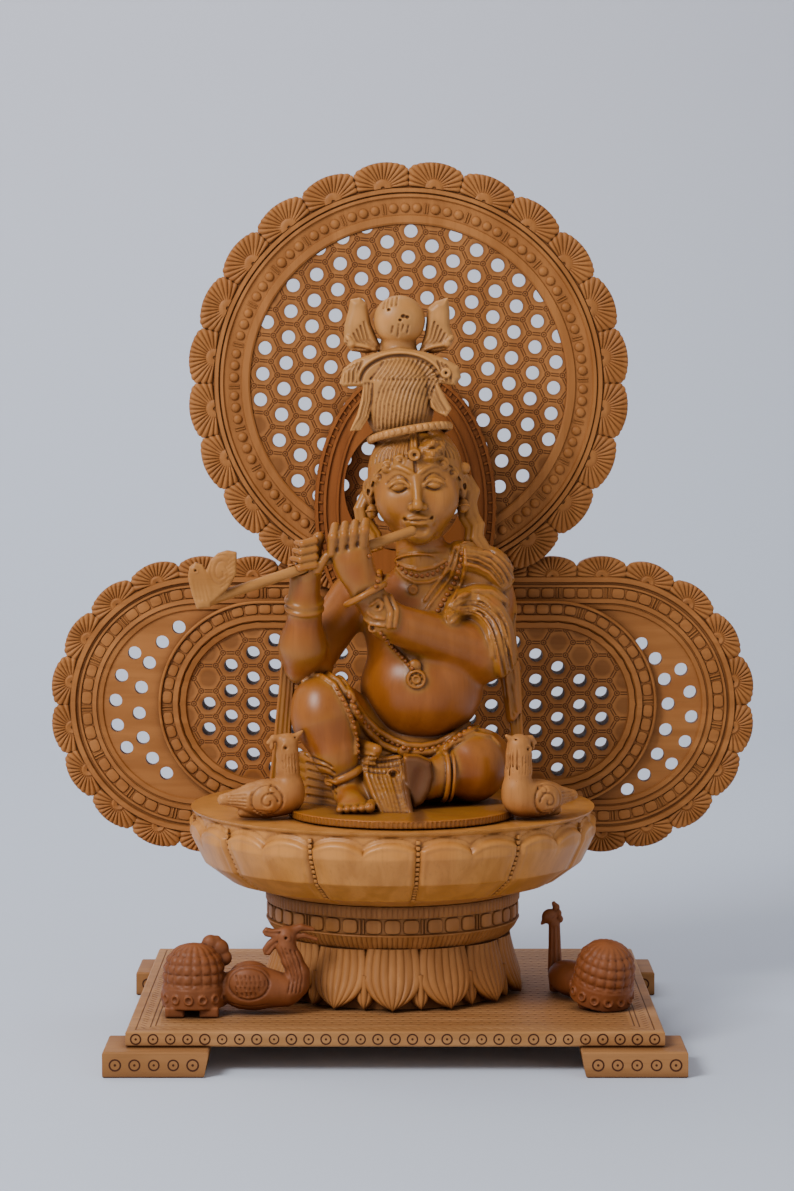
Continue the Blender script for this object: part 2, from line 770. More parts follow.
def fan_stamp(name, width, depth, bulge, ribs, loop, taper):
    """One scallop: ribs that fan out from a loop at the base to a toothed, rounded edge."""
    half, valley = width / 2, depth - bulge
    across = np.linspace(-half, half, 81)
    arch = valley + bulge * np.sqrt(np.clip(np.cos(across / half * math.pi / 2), 0, 1))
    side = np.linspace(0, 1, 18)[:-1]
    edge = half * (taper + (1 - taper) * side)
    rim_x = np.concatenate([-edge, across, edge[::-1]])
    rim_z = np.concatenate([side * valley, arch, side[::-1] * valley])
    base = np.array([0.0, 0.3])
    angle = np.arctan2(rim_z - base[1], rim_x - base[0])
    length = np.hypot(rim_x - base[0], rim_z - base[1])
    angle[angle < -math.pi / 2] += TAU
    order = np.argsort(angle)
    columns = ribs * 4 + 1
    want = np.linspace(math.pi + 0.03, -0.03, columns)
    reach = np.interp(want, angle[order], length[order])
    ridge = np.abs(np.sin(math.pi * np.linspace(0, ribs, columns))) ** 0.7
    tooth = 0.35 * (ridge - 1)
    rows = [(0, 0.3, 0.25), (0, 1, 0.7), (0, 1.35, 0.15), (0.5, 0, 0.9), (0.8, 0, 0.95),
            (0.94, 0, 0.8), (1.0, 0, 0.4)]
    sheets = []
    for share, loops, height in rows:
        away = np.minimum((reach + tooth) * share + loop * loops, reach + tooth)
        rise = 0.1 + height * np.where(share > 0, 0.3 + 0.7 * ridge, 0.9)
        sheets.append((away, -rise))
    sheets += [(sheets[-1][0], np.full(columns, 0.9)), (sheets[0][0], np.full(columns, 0.9))]
    points = np.concatenate([
        np.stack([base[0] + away * np.cos(want), rise, base[1] + away * np.sin(want)], -1)
        for away, rise in sheets
    ])
    n = len(sheets)
    left = np.arange(n) * columns
    right = left + columns - 1
    caps = [(left[0], left[k], left[k + 1]) for k in range(1, n - 1)]
    caps += [(right[0], right[k + 1], right[k]) for k in range(1, n - 1)]
    return stamp_object(name, Shell().add(points, grid(n, columns, True), caps), 50)


# Places of the real pieces, in millimetres

CAMERA_PLACE = (-2.0, -1105.0, 230.2)
DISC_CENTRE = (2.1, 224.1)
DISC_RADIUS, DISC_FRONT, DISC_BACK = 79.2, 39.7, 44.7
DISC_TURN, DISC_SHIFT = math.radians(-35.3), (4.1, 2.8)
DISC_SCALLOPS, SCALLOP_BULGE = 24, 3.6
FIELD_RADIUS, FIELD_RISE = 55.5, 3.4
PANEL_CENTRE = (0.0, 108.2)
PANEL_SPREAD, PANEL_RADIUS, PANEL_SCALLOPS = 73.7, 53.9, 34
PANEL_FRONT, PANEL_BACK = 45.0, 50.0
INNER_CENTRE = (1.8, 108.7)
INNER_FIELDS = ((-1, (0, 4.6), 19), (1, (-1.5, -0.8), 16))
INNER_SPREAD, INNER_RADIUS, INNER_PITCH = 52.4, 37.6, 9.2
INNER_FRONT, INNER_BACK = 42.0, 57.0
HALO_CENTRE, HALO_HALF = (1.0, 180.0), (32.9, 50.0)
OPENING_CENTRE, OPENING_HALF = (0.5, 187.0), (21.3, 23.0)
HALO_FRONT, HALO_BACK = 32.4, 38.6
PEDESTAL_X, PEDESTAL_BASE = -3.5, 14.1
SEAT_BASE, SEAT_TOP = 49.8, 78.4
FIGURE_BASE = 78.7
MOST_FACES = 195000
DEPTH_JUMP = 3


def circle(centre, radius, sides=24):
    """Points round a circle or an oval."""
    angle = np.arange(sides) * TAU / sides
    half = np.broadcast_to(radius, 2)
    return np.stack([centre[0] + half[0] * np.cos(angle), centre[1] + half[1] * np.sin(angle)], -1)


def scalloped(spread, radius, count, centre, steps=16):
    """Outline of a rim with rounded scallops."""
    shares = np.arange(count * steps) / (count * steps)
    bulge = SCALLOP_BULGE * np.sqrt(np.sin(math.pi * ((np.arange(count * steps) % steps) / steps)))
    feet, out = stadium_walk(shares, spread, radius - SCALLOP_BULGE, centre)
    return feet + out * (radius - SCALLOP_BULGE + bulge - 0.3)[:, None]


def honeycomb(centre, pitch, turn, shift, inside):
    """Centres of the holes of a honeycomb, kept where the test allows."""
    spots = []
    for i in range(-20, 21):
        for j in range(-20, 21):
            along, across = pitch * (i - j / 2), pitch * j * math.sqrt(0.75)
            x = shift[0] + along * math.cos(turn) - across * math.sin(turn)
            z = shift[1] + along * math.sin(turn) + across * math.cos(turn)
            if inside(x, z):
                spots.append((centre[0] + x, centre[1] + z))
    return spots


def beads_round(name, spread, radius, centre, front, pitch, bead, bar, stamp, slot, node, wood, run):
    """A band of beads in runs, with two thin bars after each run."""
    length = 4 * spread + TAU * radius
    group = run * pitch + 3 * bar
    groups = round(length / group)
    shares, kinds = [], []
    for k in range(groups):
        for i in range(run):
            shares.append((k + (i + 0.5) * pitch / group) / groups)
            kinds.append(0)
        for i in (0.9, 2.1):
            shares.append((k + (run * pitch + i * bar) / group) / groups)
            kinds.append(1)
    feet, out = stadium_walk(shares, spread, radius, centre)
    flat = feet + out * radius
    places = np.stack([flat[:, 0], np.full(len(flat), front), flat[:, 1]], -1)
    turns, kinds = upright_turns(out), np.array(kinds)
    pieces = []
    for kind, form, size in ((0, stamp, bead), (1, bar_stamp(), (bar * 0.72, 1.0, bead[2]))):
        pick = kinds == kind
        sizes = np.tile(size, (pick.sum(), 1))
        label = f"{name}_{'bars' if kind else 'beads'}"
        pieces.append(copied(label, form, places[pick], turns[pick], sizes, wood, slot, node))
    return pieces


def fans_round(name, stamp, spread, radius, base, count, centre, front, wood, node):
    """Scallops side by side round a rim."""
    feet, out = stadium_walk((np.arange(count) + 0.5) / count, spread, radius - SCALLOP_BULGE, centre)
    flat = feet + out * (base - 0.35)
    places = np.stack([flat[:, 0], np.full(count, front), flat[:, 1]], -1)
    return copied(name, stamp, places, upright_turns(out), 1.0, wood, "panel_wood", node,
                  unevenness=0.0)


def build_disc():
    """Round pierced disc with its scallops, rails and beads."""
    size = bpy.context.scene.carving_sizes
    finishes = bpy.context.scene.wood_finishes
    wood = wood_finish("disc_wood", finishes.panel, 0.55, disc_marks, (0, 0, 1))
    rim_wood = wood_finish("rim_wood", finishes.panel, 0.55)
    node, slot = "jali_disc", "panel_wood"
    outline = scalloped(0, DISC_RADIUS, DISC_SCALLOPS, DISC_CENTRE)
    floor = INNER_CENTRE[1] + INNER_RADIUS + 0.4
    outline[:, 1] = np.maximum(outline[:, 1], floor)
    spots = honeycomb(DISC_CENTRE, size.hole_pitch / MM, DISC_TURN, DISC_SHIFT,
                      lambda x, z: math.hypot(x, z - FIELD_RISE) < FIELD_RADIUS)
    shell = Shell()
    slab(shell, outline, [circle(s, size.hole_radius / MM) for s in spots], DISC_FRONT + 0.5,
         DISC_BACK)
    finished("disc_plate", shell.mesh("disc_plate"), wood, slot, node)

    section = [(69.6, -1), (69.6, -0.1), (69.2, 1.05), (67.9, 1.1), (67.5, 0.1), (67.2, 0.85),
               (66.2, 0.95), (65.7, 0.2), (64.9, 0.12), (59.9, 0.12), (59.5, 0.8), (57.2, 0.95),
               (56.6, 0.6), (56.3, -1)]
    feet, out = stadium_walk(np.arange(256) / 256, 0, DISC_RADIUS, DISC_CENTRE)
    shell = Shell().add(*tube(feet, out, section, DISC_FRONT + 0.5))
    finished("disc_rails", shell.mesh("disc_rails", 30), rim_wood, slot, node)

    bead = size.bead_radius / MM
    beads_round("disc", 0, 62.3, DISC_CENTRE, DISC_FRONT + 0.4, 4.2, (bead, 1.5, bead), 0.8,
                bead_stamp(), slot, node, rim_wood, 3)
    width = TAU * (DISC_RADIUS - SCALLOP_BULGE) / DISC_SCALLOPS
    fan = fan_stamp("stamp_disc_fan", width, 9.5, SCALLOP_BULGE, size.scallop_ribs, 2.4, 0.92)
    fans_round("disc_scallops", fan, 0, DISC_RADIUS, 69.7, DISC_SCALLOPS, DISC_CENTRE,
               DISC_FRONT + 0.35, rim_wood, node)


def build_lower_panel():
    """Wide panel with round ends, scallops, rails and square beads."""
    size = bpy.context.scene.carving_sizes
    finishes = bpy.context.scene.wood_finishes
    wood = wood_finish("panel_wood", finishes.panel, 0.55, grain=(1, 0, 0))
    node, slot = "lower_panel", "panel_wood"
    outline = scalloped(PANEL_SPREAD, PANEL_RADIUS, PANEL_SCALLOPS, PANEL_CENTRE)
    feet, out = stadium_walk(np.arange(160) / 160, INNER_SPREAD, INNER_RADIUS, INNER_CENTRE)
    window = feet + out * (INNER_RADIUS - 3.4)
    spots = []
    for count, half, tall, fan in ((5, 30, 30, 70), (8, 21.4, 29.5, 128)):
        for angle in np.radians(fan * (np.arange(count) / (count - 1) - 0.5)):
            for side, across, lift in ((-1, 0, 1.5), (1, 0.8, -4.5)):
                up = tall * math.sin(angle)
                x = side * (PANEL_SPREAD + half * math.cos(angle)) + 0.09 * up + across
                spots.append((x, PANEL_CENTRE[1] + up + lift))
    holes = [circle(s, size.hole_radius / MM) for s in spots]
    shell = Shell()
    slab(shell, outline, [window, *holes], PANEL_FRONT + 0.5, PANEL_BACK)
    finished("panel_plate", shell.mesh("panel_plate"), wood, slot, node)

    section = [(46.6, -0.4), (46.6, 0.1), (46.1, 1.1), (44.5, 1.1), (44.0, -0.1), (43.5, -0.1),
               (43.3, 0.7), (42.6, 0.7), (42.3, -0.1), (38.6, -0.1), (38.3, 0.8), (36.9, 1.0),
               (36.6, 0.4), (36.3, 0.4), (36.0, 0.9), (34.6, 0.7), (33.9, -0.4)]
    feet, out = stadium_walk(np.arange(400) / 400, PANEL_SPREAD, 40, PANEL_CENTRE)
    shell = Shell().add(*tube(feet, out, section, PANEL_FRONT + 0.5))
    finished("panel_rails", shell.mesh("panel_rails", 30), wood, slot, node)
    beads_round("panel", PANEL_SPREAD, 40.4, PANEL_CENTRE, PANEL_FRONT + 0.4, 5.0,
                (2.3, 1.4, 1.85), 0.9, pad_stamp(), slot, node, wood, 3)
    straight = (4 * PANEL_SPREAD + TAU * (PANEL_RADIUS - SCALLOP_BULGE)) / PANEL_SCALLOPS
    fan = fan_stamp("stamp_panel_fan", straight, 7.5, SCALLOP_BULGE, 13, 1.9, 0.95)
    fans_round("panel_scallops", fan, PANEL_SPREAD, PANEL_RADIUS, 46.4, PANEL_SCALLOPS,
               PANEL_CENTRE, PANEL_FRONT + 0.45, wood, node)


def build_inner_panel():
    """Thick panel in the middle of the wide one."""
    size = bpy.context.scene.carving_sizes
    finishes = bpy.context.scene.wood_finishes
    wood = wood_finish("inner_wood", finishes.panel, 0.52, inner_marks, (1, 0, 0))
    node, slot = "inner_panel", "panel_wood"

    spots = []
    for side, shift, corner in INNER_FIELDS:

        def inside(x, z, side=side, corner=corner):
            beyond = side * x - INNER_SPREAD
            reach = math.hypot(max(beyond, 0), z)
            return reach < 26.5 and 0.65 * beyond + 0.75 * z < corner and side * x > 21

        spots += honeycomb(INNER_CENTRE, INNER_PITCH, math.pi / 2, shift, inside)
    feet, out = stadium_walk(np.arange(200) / 200, INNER_SPREAD, INNER_RADIUS, INNER_CENTRE)
    shell = Shell()
    holes = [circle(s, size.hole_radius / MM) for s in spots]
    slab(shell, feet + out * (INNER_RADIUS - 0.4), holes, INNER_FRONT + 1.6, INNER_BACK)
    finished("inner_plate", shell.mesh("inner_plate"), wood, slot, node)

    section = [(37.3, -1), (37.5, 0.0), (37.3, 1.5), (36.9, 1.9), (36.5, 1.8), (36.2, 0.6),
               (32.4, 0.6), (32.1, 1.8), (30.4, 1.9), (30.0, 0.8), (29.7, 1.4), (27.6, 1.0),
               (27.2, 0.1), (26.9, -1)]
    feet, out = stadium_walk(np.arange(420) / 420, INNER_SPREAD, 34, INNER_CENTRE)
    columns = np.arange(420)
    wave = 0.35 * np.abs(np.sin(columns * math.pi * 66 / 420)) ** 0.5
    rows = np.repeat(np.array(section)[:, None, :], 420, 1)
    rows[9:11, :, 0] -= wave
    shell = Shell().add(*tube(feet, out, rows, INNER_FRONT + 1.6))
    finished("inner_rails", shell.mesh("inner_rails", 30), wood, slot, node)
    beads_round("inner", INNER_SPREAD, 34.3, INNER_CENTRE, INNER_FRONT + 0.95, 5.0,
                (2.25, 1.6, 1.8), 0.9, pad_stamp(), slot, node, wood, 8)


def build_halo():
    """Oval plate with a round-headed opening, toothed edge and rails."""
    finishes = bpy.context.scene.wood_finishes
    wood = wood_finish("halo_wood", finishes.halo, 0.55)
    node, slot = "halo_plate", "panel_wood"
    outline = circle(HALO_CENTRE, np.array(HALO_HALF) - 0.5, 144)
    shell = Shell()
    slab(shell, outline, [circle(OPENING_CENTRE, OPENING_HALF, 96)], HALO_FRONT + 0.9, HALO_BACK)
    for inset, width, rise in ((0.35, 1.5, 0.3), (3.6, 1.1, 0.3), (8.2, 0.9, 0.3)):
        columns = 288
        angle = np.arange(columns) * TAU / columns
        feet = np.tile(HALO_CENTRE, (columns, 1)).astype(float)
        reach = np.stack([(HALO_HALF[0] - inset) * np.cos(angle),
                          (HALO_HALF[1] - inset) * np.sin(angle)], -1)
        length = np.hypot(*reach.T)
        out = reach / length[:, None]
        teeth = 0.5 * np.abs(np.sin(angle * 36)) if inset < 1 else np.zeros(columns)
        rows = [(0, -0.4), (0, rise), (-0.2, rise + 0.5), (-width, rise + 0.5), (-width - 0.3, -0.4)]
        section = np.zeros((len(rows), columns, 2))
        for row, (step, forward) in enumerate(rows):
            section[row, :, 0] = length + step - (teeth if row < 3 else 0)
            section[row, :, 1] = forward
        shell.add(*tube(feet, out, section, HALO_FRONT + 0.9))
    finished("halo_plate_carved", shell.mesh("halo_plate_carved", 35), wood, slot, node)
    angle = (np.arange(84) + 0.5) * TAU / 84
    out = np.stack([np.cos(angle), np.sin(angle)], -1)
    flat = np.array(HALO_CENTRE) + out * (np.array(HALO_HALF) - 2.6)
    places = np.stack([flat[:, 0], np.full(84, HALO_FRONT + 0.75), flat[:, 1]], -1)
    copied("halo_bars", bar_stamp(), places, upright_turns(out),
           np.tile((0.9, 1.1, 0.8), (84, 1)), wood, slot, node)


def build_board():
    """Thin board, its four feet and the punched circles."""
    size = bpy.context.scene.carving_sizes
    finishes = bpy.context.scene.wood_finishes
    wood = wood_finish("board_wood", finishes.board, 0.6, board_marks, (1, 0, 0))
    foot_wood = wood_finish("foot_wood", finishes.foot, 0.6, grain=(1, 0, 0))
    dark = wood_finish("dot_wood", finishes.recess, 0.7)
    low, high = low_high("base_board")
    shell = Shell()
    soft_box(shell, low + (0, 0.12, 0), high, 0.5)
    finished("board", shell.mesh("board", 30), wood, "board_wood", "base_board")
    dot = size.ring_dot_radius / MM
    places = []
    count = int((high[0] - low[0] - 6) / 5.4)
    for x in np.linspace(low[0] + 3.4, high[0] - 3.4, count):
        places.append((x, low[1] + 0.12, low[2] + 2.5))
    copied("board_ring_dots", ring_dot_stamp(), places, np.zeros((count, 3)),
           np.tile((dot, 1, dot), (count, 1)), dark, "board_wood", "base_board")
    for side in ("front_left", "front_right", "back_left", "back_right"):
        node = f"foot_{side}"
        low, high = low_high(node)
        shell = Shell()
        slant = 1.6 if "left" in side else -1.6
        foot_block(shell, low + (0, 0.12, 0), high, slant)
        finished(node + "_block", shell.mesh(node, 30), foot_wood, "board_wood", node)
        xs = np.linspace(low[0] + 4.2, high[0] - 5.2, 5) + (0 if slant > 0 else 1.2)
        places = [(x, low[1] + 0.12, (low[2] + high[2]) / 2) for x in xs]
        copied(node + "_ring_dots", ring_dot_stamp(), places, np.zeros((5, 3)),
               np.tile((dot * 1.1, 1, dot * 1.1), (5, 1)), dark, "board_wood", node)


def soft_box(shell, low, high, edge):
    """Adds a box whose long edges are slightly worn."""
    low, high = np.asarray(low), np.asarray(high)
    ring = []
    for inset, z in ((edge, low[2]), (0, low[2] + edge), (0, high[2] - edge), (edge, high[2])):
        x0, y0, x1, y1 = low[0] + inset, low[1] + inset, high[0] - inset, high[1] - inset
        ring += [(x0, y0, z), (x1, y0, z), (x1, y1, z), (x0, y1, z)]
    shell.add(ring, grid(4, 4, False, True), [(3, 2, 1, 0), (12, 13, 14, 15)])


def foot_block(shell, low, high, slant):
    """Adds a foot: a block with one slanted side towards the middle."""
    x0, x1 = low[0], high[0]
    points = []
    edge = 0.5
    for inset, z in ((edge, low[2]), (0, low[2] + edge), (0, high[2] - edge), (edge, high[2])):
        lean = abs(slant) * (1 - (z - low[2]) / (high[2] - low[2]))
        left = x0 + inset + (0 if slant > 0 else lean)
        right = x1 - inset - (lean if slant > 0 else 0)
        points += [(left, low[1] + inset, z), (right, low[1] + inset, z),
                   (right, high[1] - inset, z), (left, high[1] - inset, z)]
    shell.add(points, grid(4, 4, False, True), [(3, 2, 1, 0), (12, 13, 14, 15)])


def pedestal_petal(width, height, lean, ribs, tip):
    """Adds one drooping petal: it widens, then narrows to a point, with upright ribs."""
    rows, columns = 26, ribs * 6 + 1
    v = np.linspace(0, 1, rows)[:, None]
    u = np.linspace(-1, 1, columns)[None, :]
    t = np.clip((v - 0.45) / 0.55, 0, 1)
    half = width / 2 * np.where(v < 0.45, 0.88 + 0.12 * np.sin(v / 0.45 * math.pi / 2),
                                (1 - t**2.1) ** 0.75 + 0.001)
    ridge = np.abs(np.sin((u + 1) * ribs * math.pi / 2)) ** 0.6
    out = lean * v**1.5 - tip * t**5
    bulge = (1.9 * (1 - u**2) + 0.55 * ridge * (1 - v**8)) * np.ones_like(v)
    x = u * half
    z = height * (1 - v) * np.ones_like(u)
    front = np.stack([x, -(out + bulge), z], -1)
    back = np.stack([x * 0.97, -(out - 1.6) * np.ones_like(u), z], -1)
    points = np.concatenate([front.reshape(-1, 3), back.reshape(-1, 3)])
    n = rows * columns
    sheet = grid(rows, columns)
    r, c = np.arange(rows - 1), np.arange(columns - 1)
    left = np.stack([r * columns, r * columns + columns, r * columns + columns + n,
                     r * columns + n], -1)
    right = (left + columns - 1)[:, ::-1]
    top = np.stack([c + 1, c, c + n, c + 1 + n], -1)
    foot = (top + (rows - 1) * columns)[:, ::-1]
    shell = Shell()
    shell.add(points, sheet[:, ::-1], sheet + n, left[:, ::-1], right[:, ::-1], top[:, ::-1],
              foot[:, ::-1])
    return shell


def ring_copies(name, stamp, count, radius, z, centre_x, start, sizes, wood, slot, node):
    """Copies round the pedestal's axis, facing outwards."""
    angle = start + np.arange(count) * TAU / count
    out = np.stack([np.cos(angle), np.sin(angle), np.zeros(count)], -1)
    places = out * radius + [centre_x, 0, z]
    return copied(name, stamp, places, facing_turns(out), np.tile(sizes, (count, 1)), wood, slot,
                  node, unevenness=0.02)


def build_pedestal():
    """Drum on a ring of drooping petals, with beads and hatching."""
    finishes = bpy.context.scene.wood_finishes
    wood = wood_finish("pedestal_wood", finishes.pedestal, 0.5)
    node, slot, base = "lotus_pedestal", "pedestal_wood", PEDESTAL_BASE
    centre = (PEDESTAL_X, 0)
    profile = [(0, 0), (40.2, 0), (40.2, 8), (38.4, 19.9), (40.0, 20.2), (41.4, 21.3),
               (42.8, 22.9), (43.7, 24.6), (44.1, 25.3), (44.0, 25.6), (43.1, 25.9), (43.1, 31.1),
               (43.9, 31.4), (44.2, 31.9), (44.3, 34.4), (43.9, 35.3), (0, 35.4)]
    profile = [(r, z + base) for r, z in profile]

    def hatched(r, z, angle):
        ridge = np.abs(np.sin(angle * 78)) ** 0.5
        local = z - base
        cove = ((local > 20.5) & (local < 25.1)) * 0.5
        crown = ((local > 31.7) & (local < 34.6)) * 0.35
        return r - (cove + crown) * (1 - ridge), z

    shell = Shell()
    turned_form(shell, profile, 78 * 10, centre, hatched)
    finished("pedestal_drum", shell.mesh("pedestal_drum", 35), wood, slot, node)
    petal = stamp_object("stamp_petal", pedestal_petal(19.2, 20.0, 6.2, 7, 1.4), 50)
    turn = -math.pi / 2
    ring_copies("pedestal_petals", petal, 14, 38.9, base + 0.35, centre[0], turn, (1, 1, 1), wood,
                slot, node)
    leaf = stamp_object("stamp_leaf", pedestal_petal(7.5, 11.5, 1.6, 3, 0.5), 50)
    ring_copies("pedestal_leaves", leaf, 14, 40.4, base + 0.3, centre[0], turn + math.pi / 14,
                (1, 1, 1), wood, slot, node)
    groups = 13
    for k, (offset, form, size) in enumerate((
        (-6.3, pad_stamp(), (2.75, 2.0, 2.45)), (0, pad_stamp(), (2.75, 2.0, 2.45)),
        (6.3, pad_stamp(), (2.75, 2.0, 2.45)),
        (9.9, bar_stamp(), (0.6, 1.6, 2.4)), (11.1, bar_stamp(), (0.6, 1.6, 2.4)),
    )):
        start = turn + offset / 43.1
        ring_copies(f"drum_beads_{k}", form, groups, 43.15, base + 28.5, centre[0], start, size,
                    wood, slot, node)


def build_seat():
    """Shallow bowl of twelve pillow petals with heart-shaped tops and stitched seams."""
    finishes = bpy.context.scene.wood_finishes
    wood = wood_finish("seat_wood", finishes.seat, 0.42, polish=0.2)
    node, slot = "lotus_seat", "seat_wood"
    start = math.radians(7 - 90)
    flat = [(0, 0), (44.6, 0), (45, 0.25), (57.1, 3.72), (66.04, 10.3), (70.5, 19.45),
            (71.1, 24.6), (70.9, 27.6), (70.0, 28.4)]
    radii, heights = np.array(flat).T
    along = np.concatenate([[0], np.cumsum(np.hypot(np.diff(radii), np.diff(heights)))])
    even = np.concatenate([[0, along[1]], np.linspace(along[2], along[-2], 96), [along[-1]]])
    profile = np.stack([np.interp(even, along, radii), np.interp(even, along, heights)], -1)
    profile = np.concatenate([profile, [(0, 28.6)]])
    profile[:, 1] += SEAT_BASE

    def petals(r, z, angle):
        local = z - SEAT_BASE
        phase = ((angle - start) / TAU * 12) % 1
        seam = np.minimum(phase, 1 - phase) * TAU / 12 * r
        rise = np.clip(local / 28.6, 0, 1)
        lobe = np.abs(np.sin(phase * TAU)) ** 0.6
        top = 21.2 + 3.4 * lobe
        inside = np.minimum(seam - 0.9, (top - local) * 1.1)
        swell = np.clip(inside / 6.5, 0, 1)
        petal = -1.3 * (1 - swell * (2 - swell)) + 0.5 * np.exp(-(((inside - 1.1) / 0.8) ** 2))
        outside = np.clip(-inside / 0.8, 0, 1)
        arc = 0.45 * np.exp(-((((local - top) - 2.1) / 0.35) ** 2)) * (local < 27.4)
        relief = np.where(inside > 0, petal, -1.3 - 1.1 * outside - arc)
        fade = np.clip((r - 45.5) / 7, 0, 1) * np.clip((28.3 - local) / 1.3, 0, 1)
        return r + relief * fade - 1.2 * fade * (rise < 0), z

    shell = Shell()
    turned_form(shell, profile, 12 * 64, (PEDESTAL_X, 0), petals)
    points = shell.points[0]
    limit = np.where(points[:, 2] > 70.3, 41.5, 44.4)
    points[:, 1] = np.minimum(points[:, 1], limit)
    finished("seat_bowl", shell.mesh("seat_bowl", 50), wood, slot, node)
    places, outs, ups = [], [], []
    for k in range(12):
        angle = start + k * TAU / 12
        for w in np.linspace(14, along[-2] - along[1] - 2.5, 15):
            r, z = np.interp(w + along[1], along, radii), np.interp(w + along[1], along, heights)
            r2, z2 = (np.interp(w + along[1] + 1, along, values) for values in (radii, heights))
            out = np.array([(z2 - z) * math.cos(angle), (z2 - z) * math.sin(angle), r - r2])
            place = np.array([math.cos(angle) * (r - 1.9), math.sin(angle) * (r - 1.9), z])
            place += (PEDESTAL_X, 0, SEAT_BASE)
            if place[1] < 40:
                places.append(place)
                outs.append(out)
                ups.append(((r2 - r) * math.cos(angle), (r2 - r) * math.sin(angle), z2 - z))
    copied("seat_stitches", pad_stamp(), places, facing_turns(outs, ups),
           np.tile((0.75, 1.6, 0.72), (len(places), 1)), wood, slot, node)


def even_line(marks, spacing=0.5, count=None):
    """A line of marks with evenly spaced points."""
    marks = np.asarray(marks, float)
    walk = np.concatenate([[0], np.cumsum(np.hypot(*np.diff(marks, axis=0).T))])
    even = np.linspace(0, walk[-1], count or max(2, int(walk[-1] / spacing) + 1))
    return np.stack([np.interp(even, walk, marks[:, k]) for k in range(2)], -1)


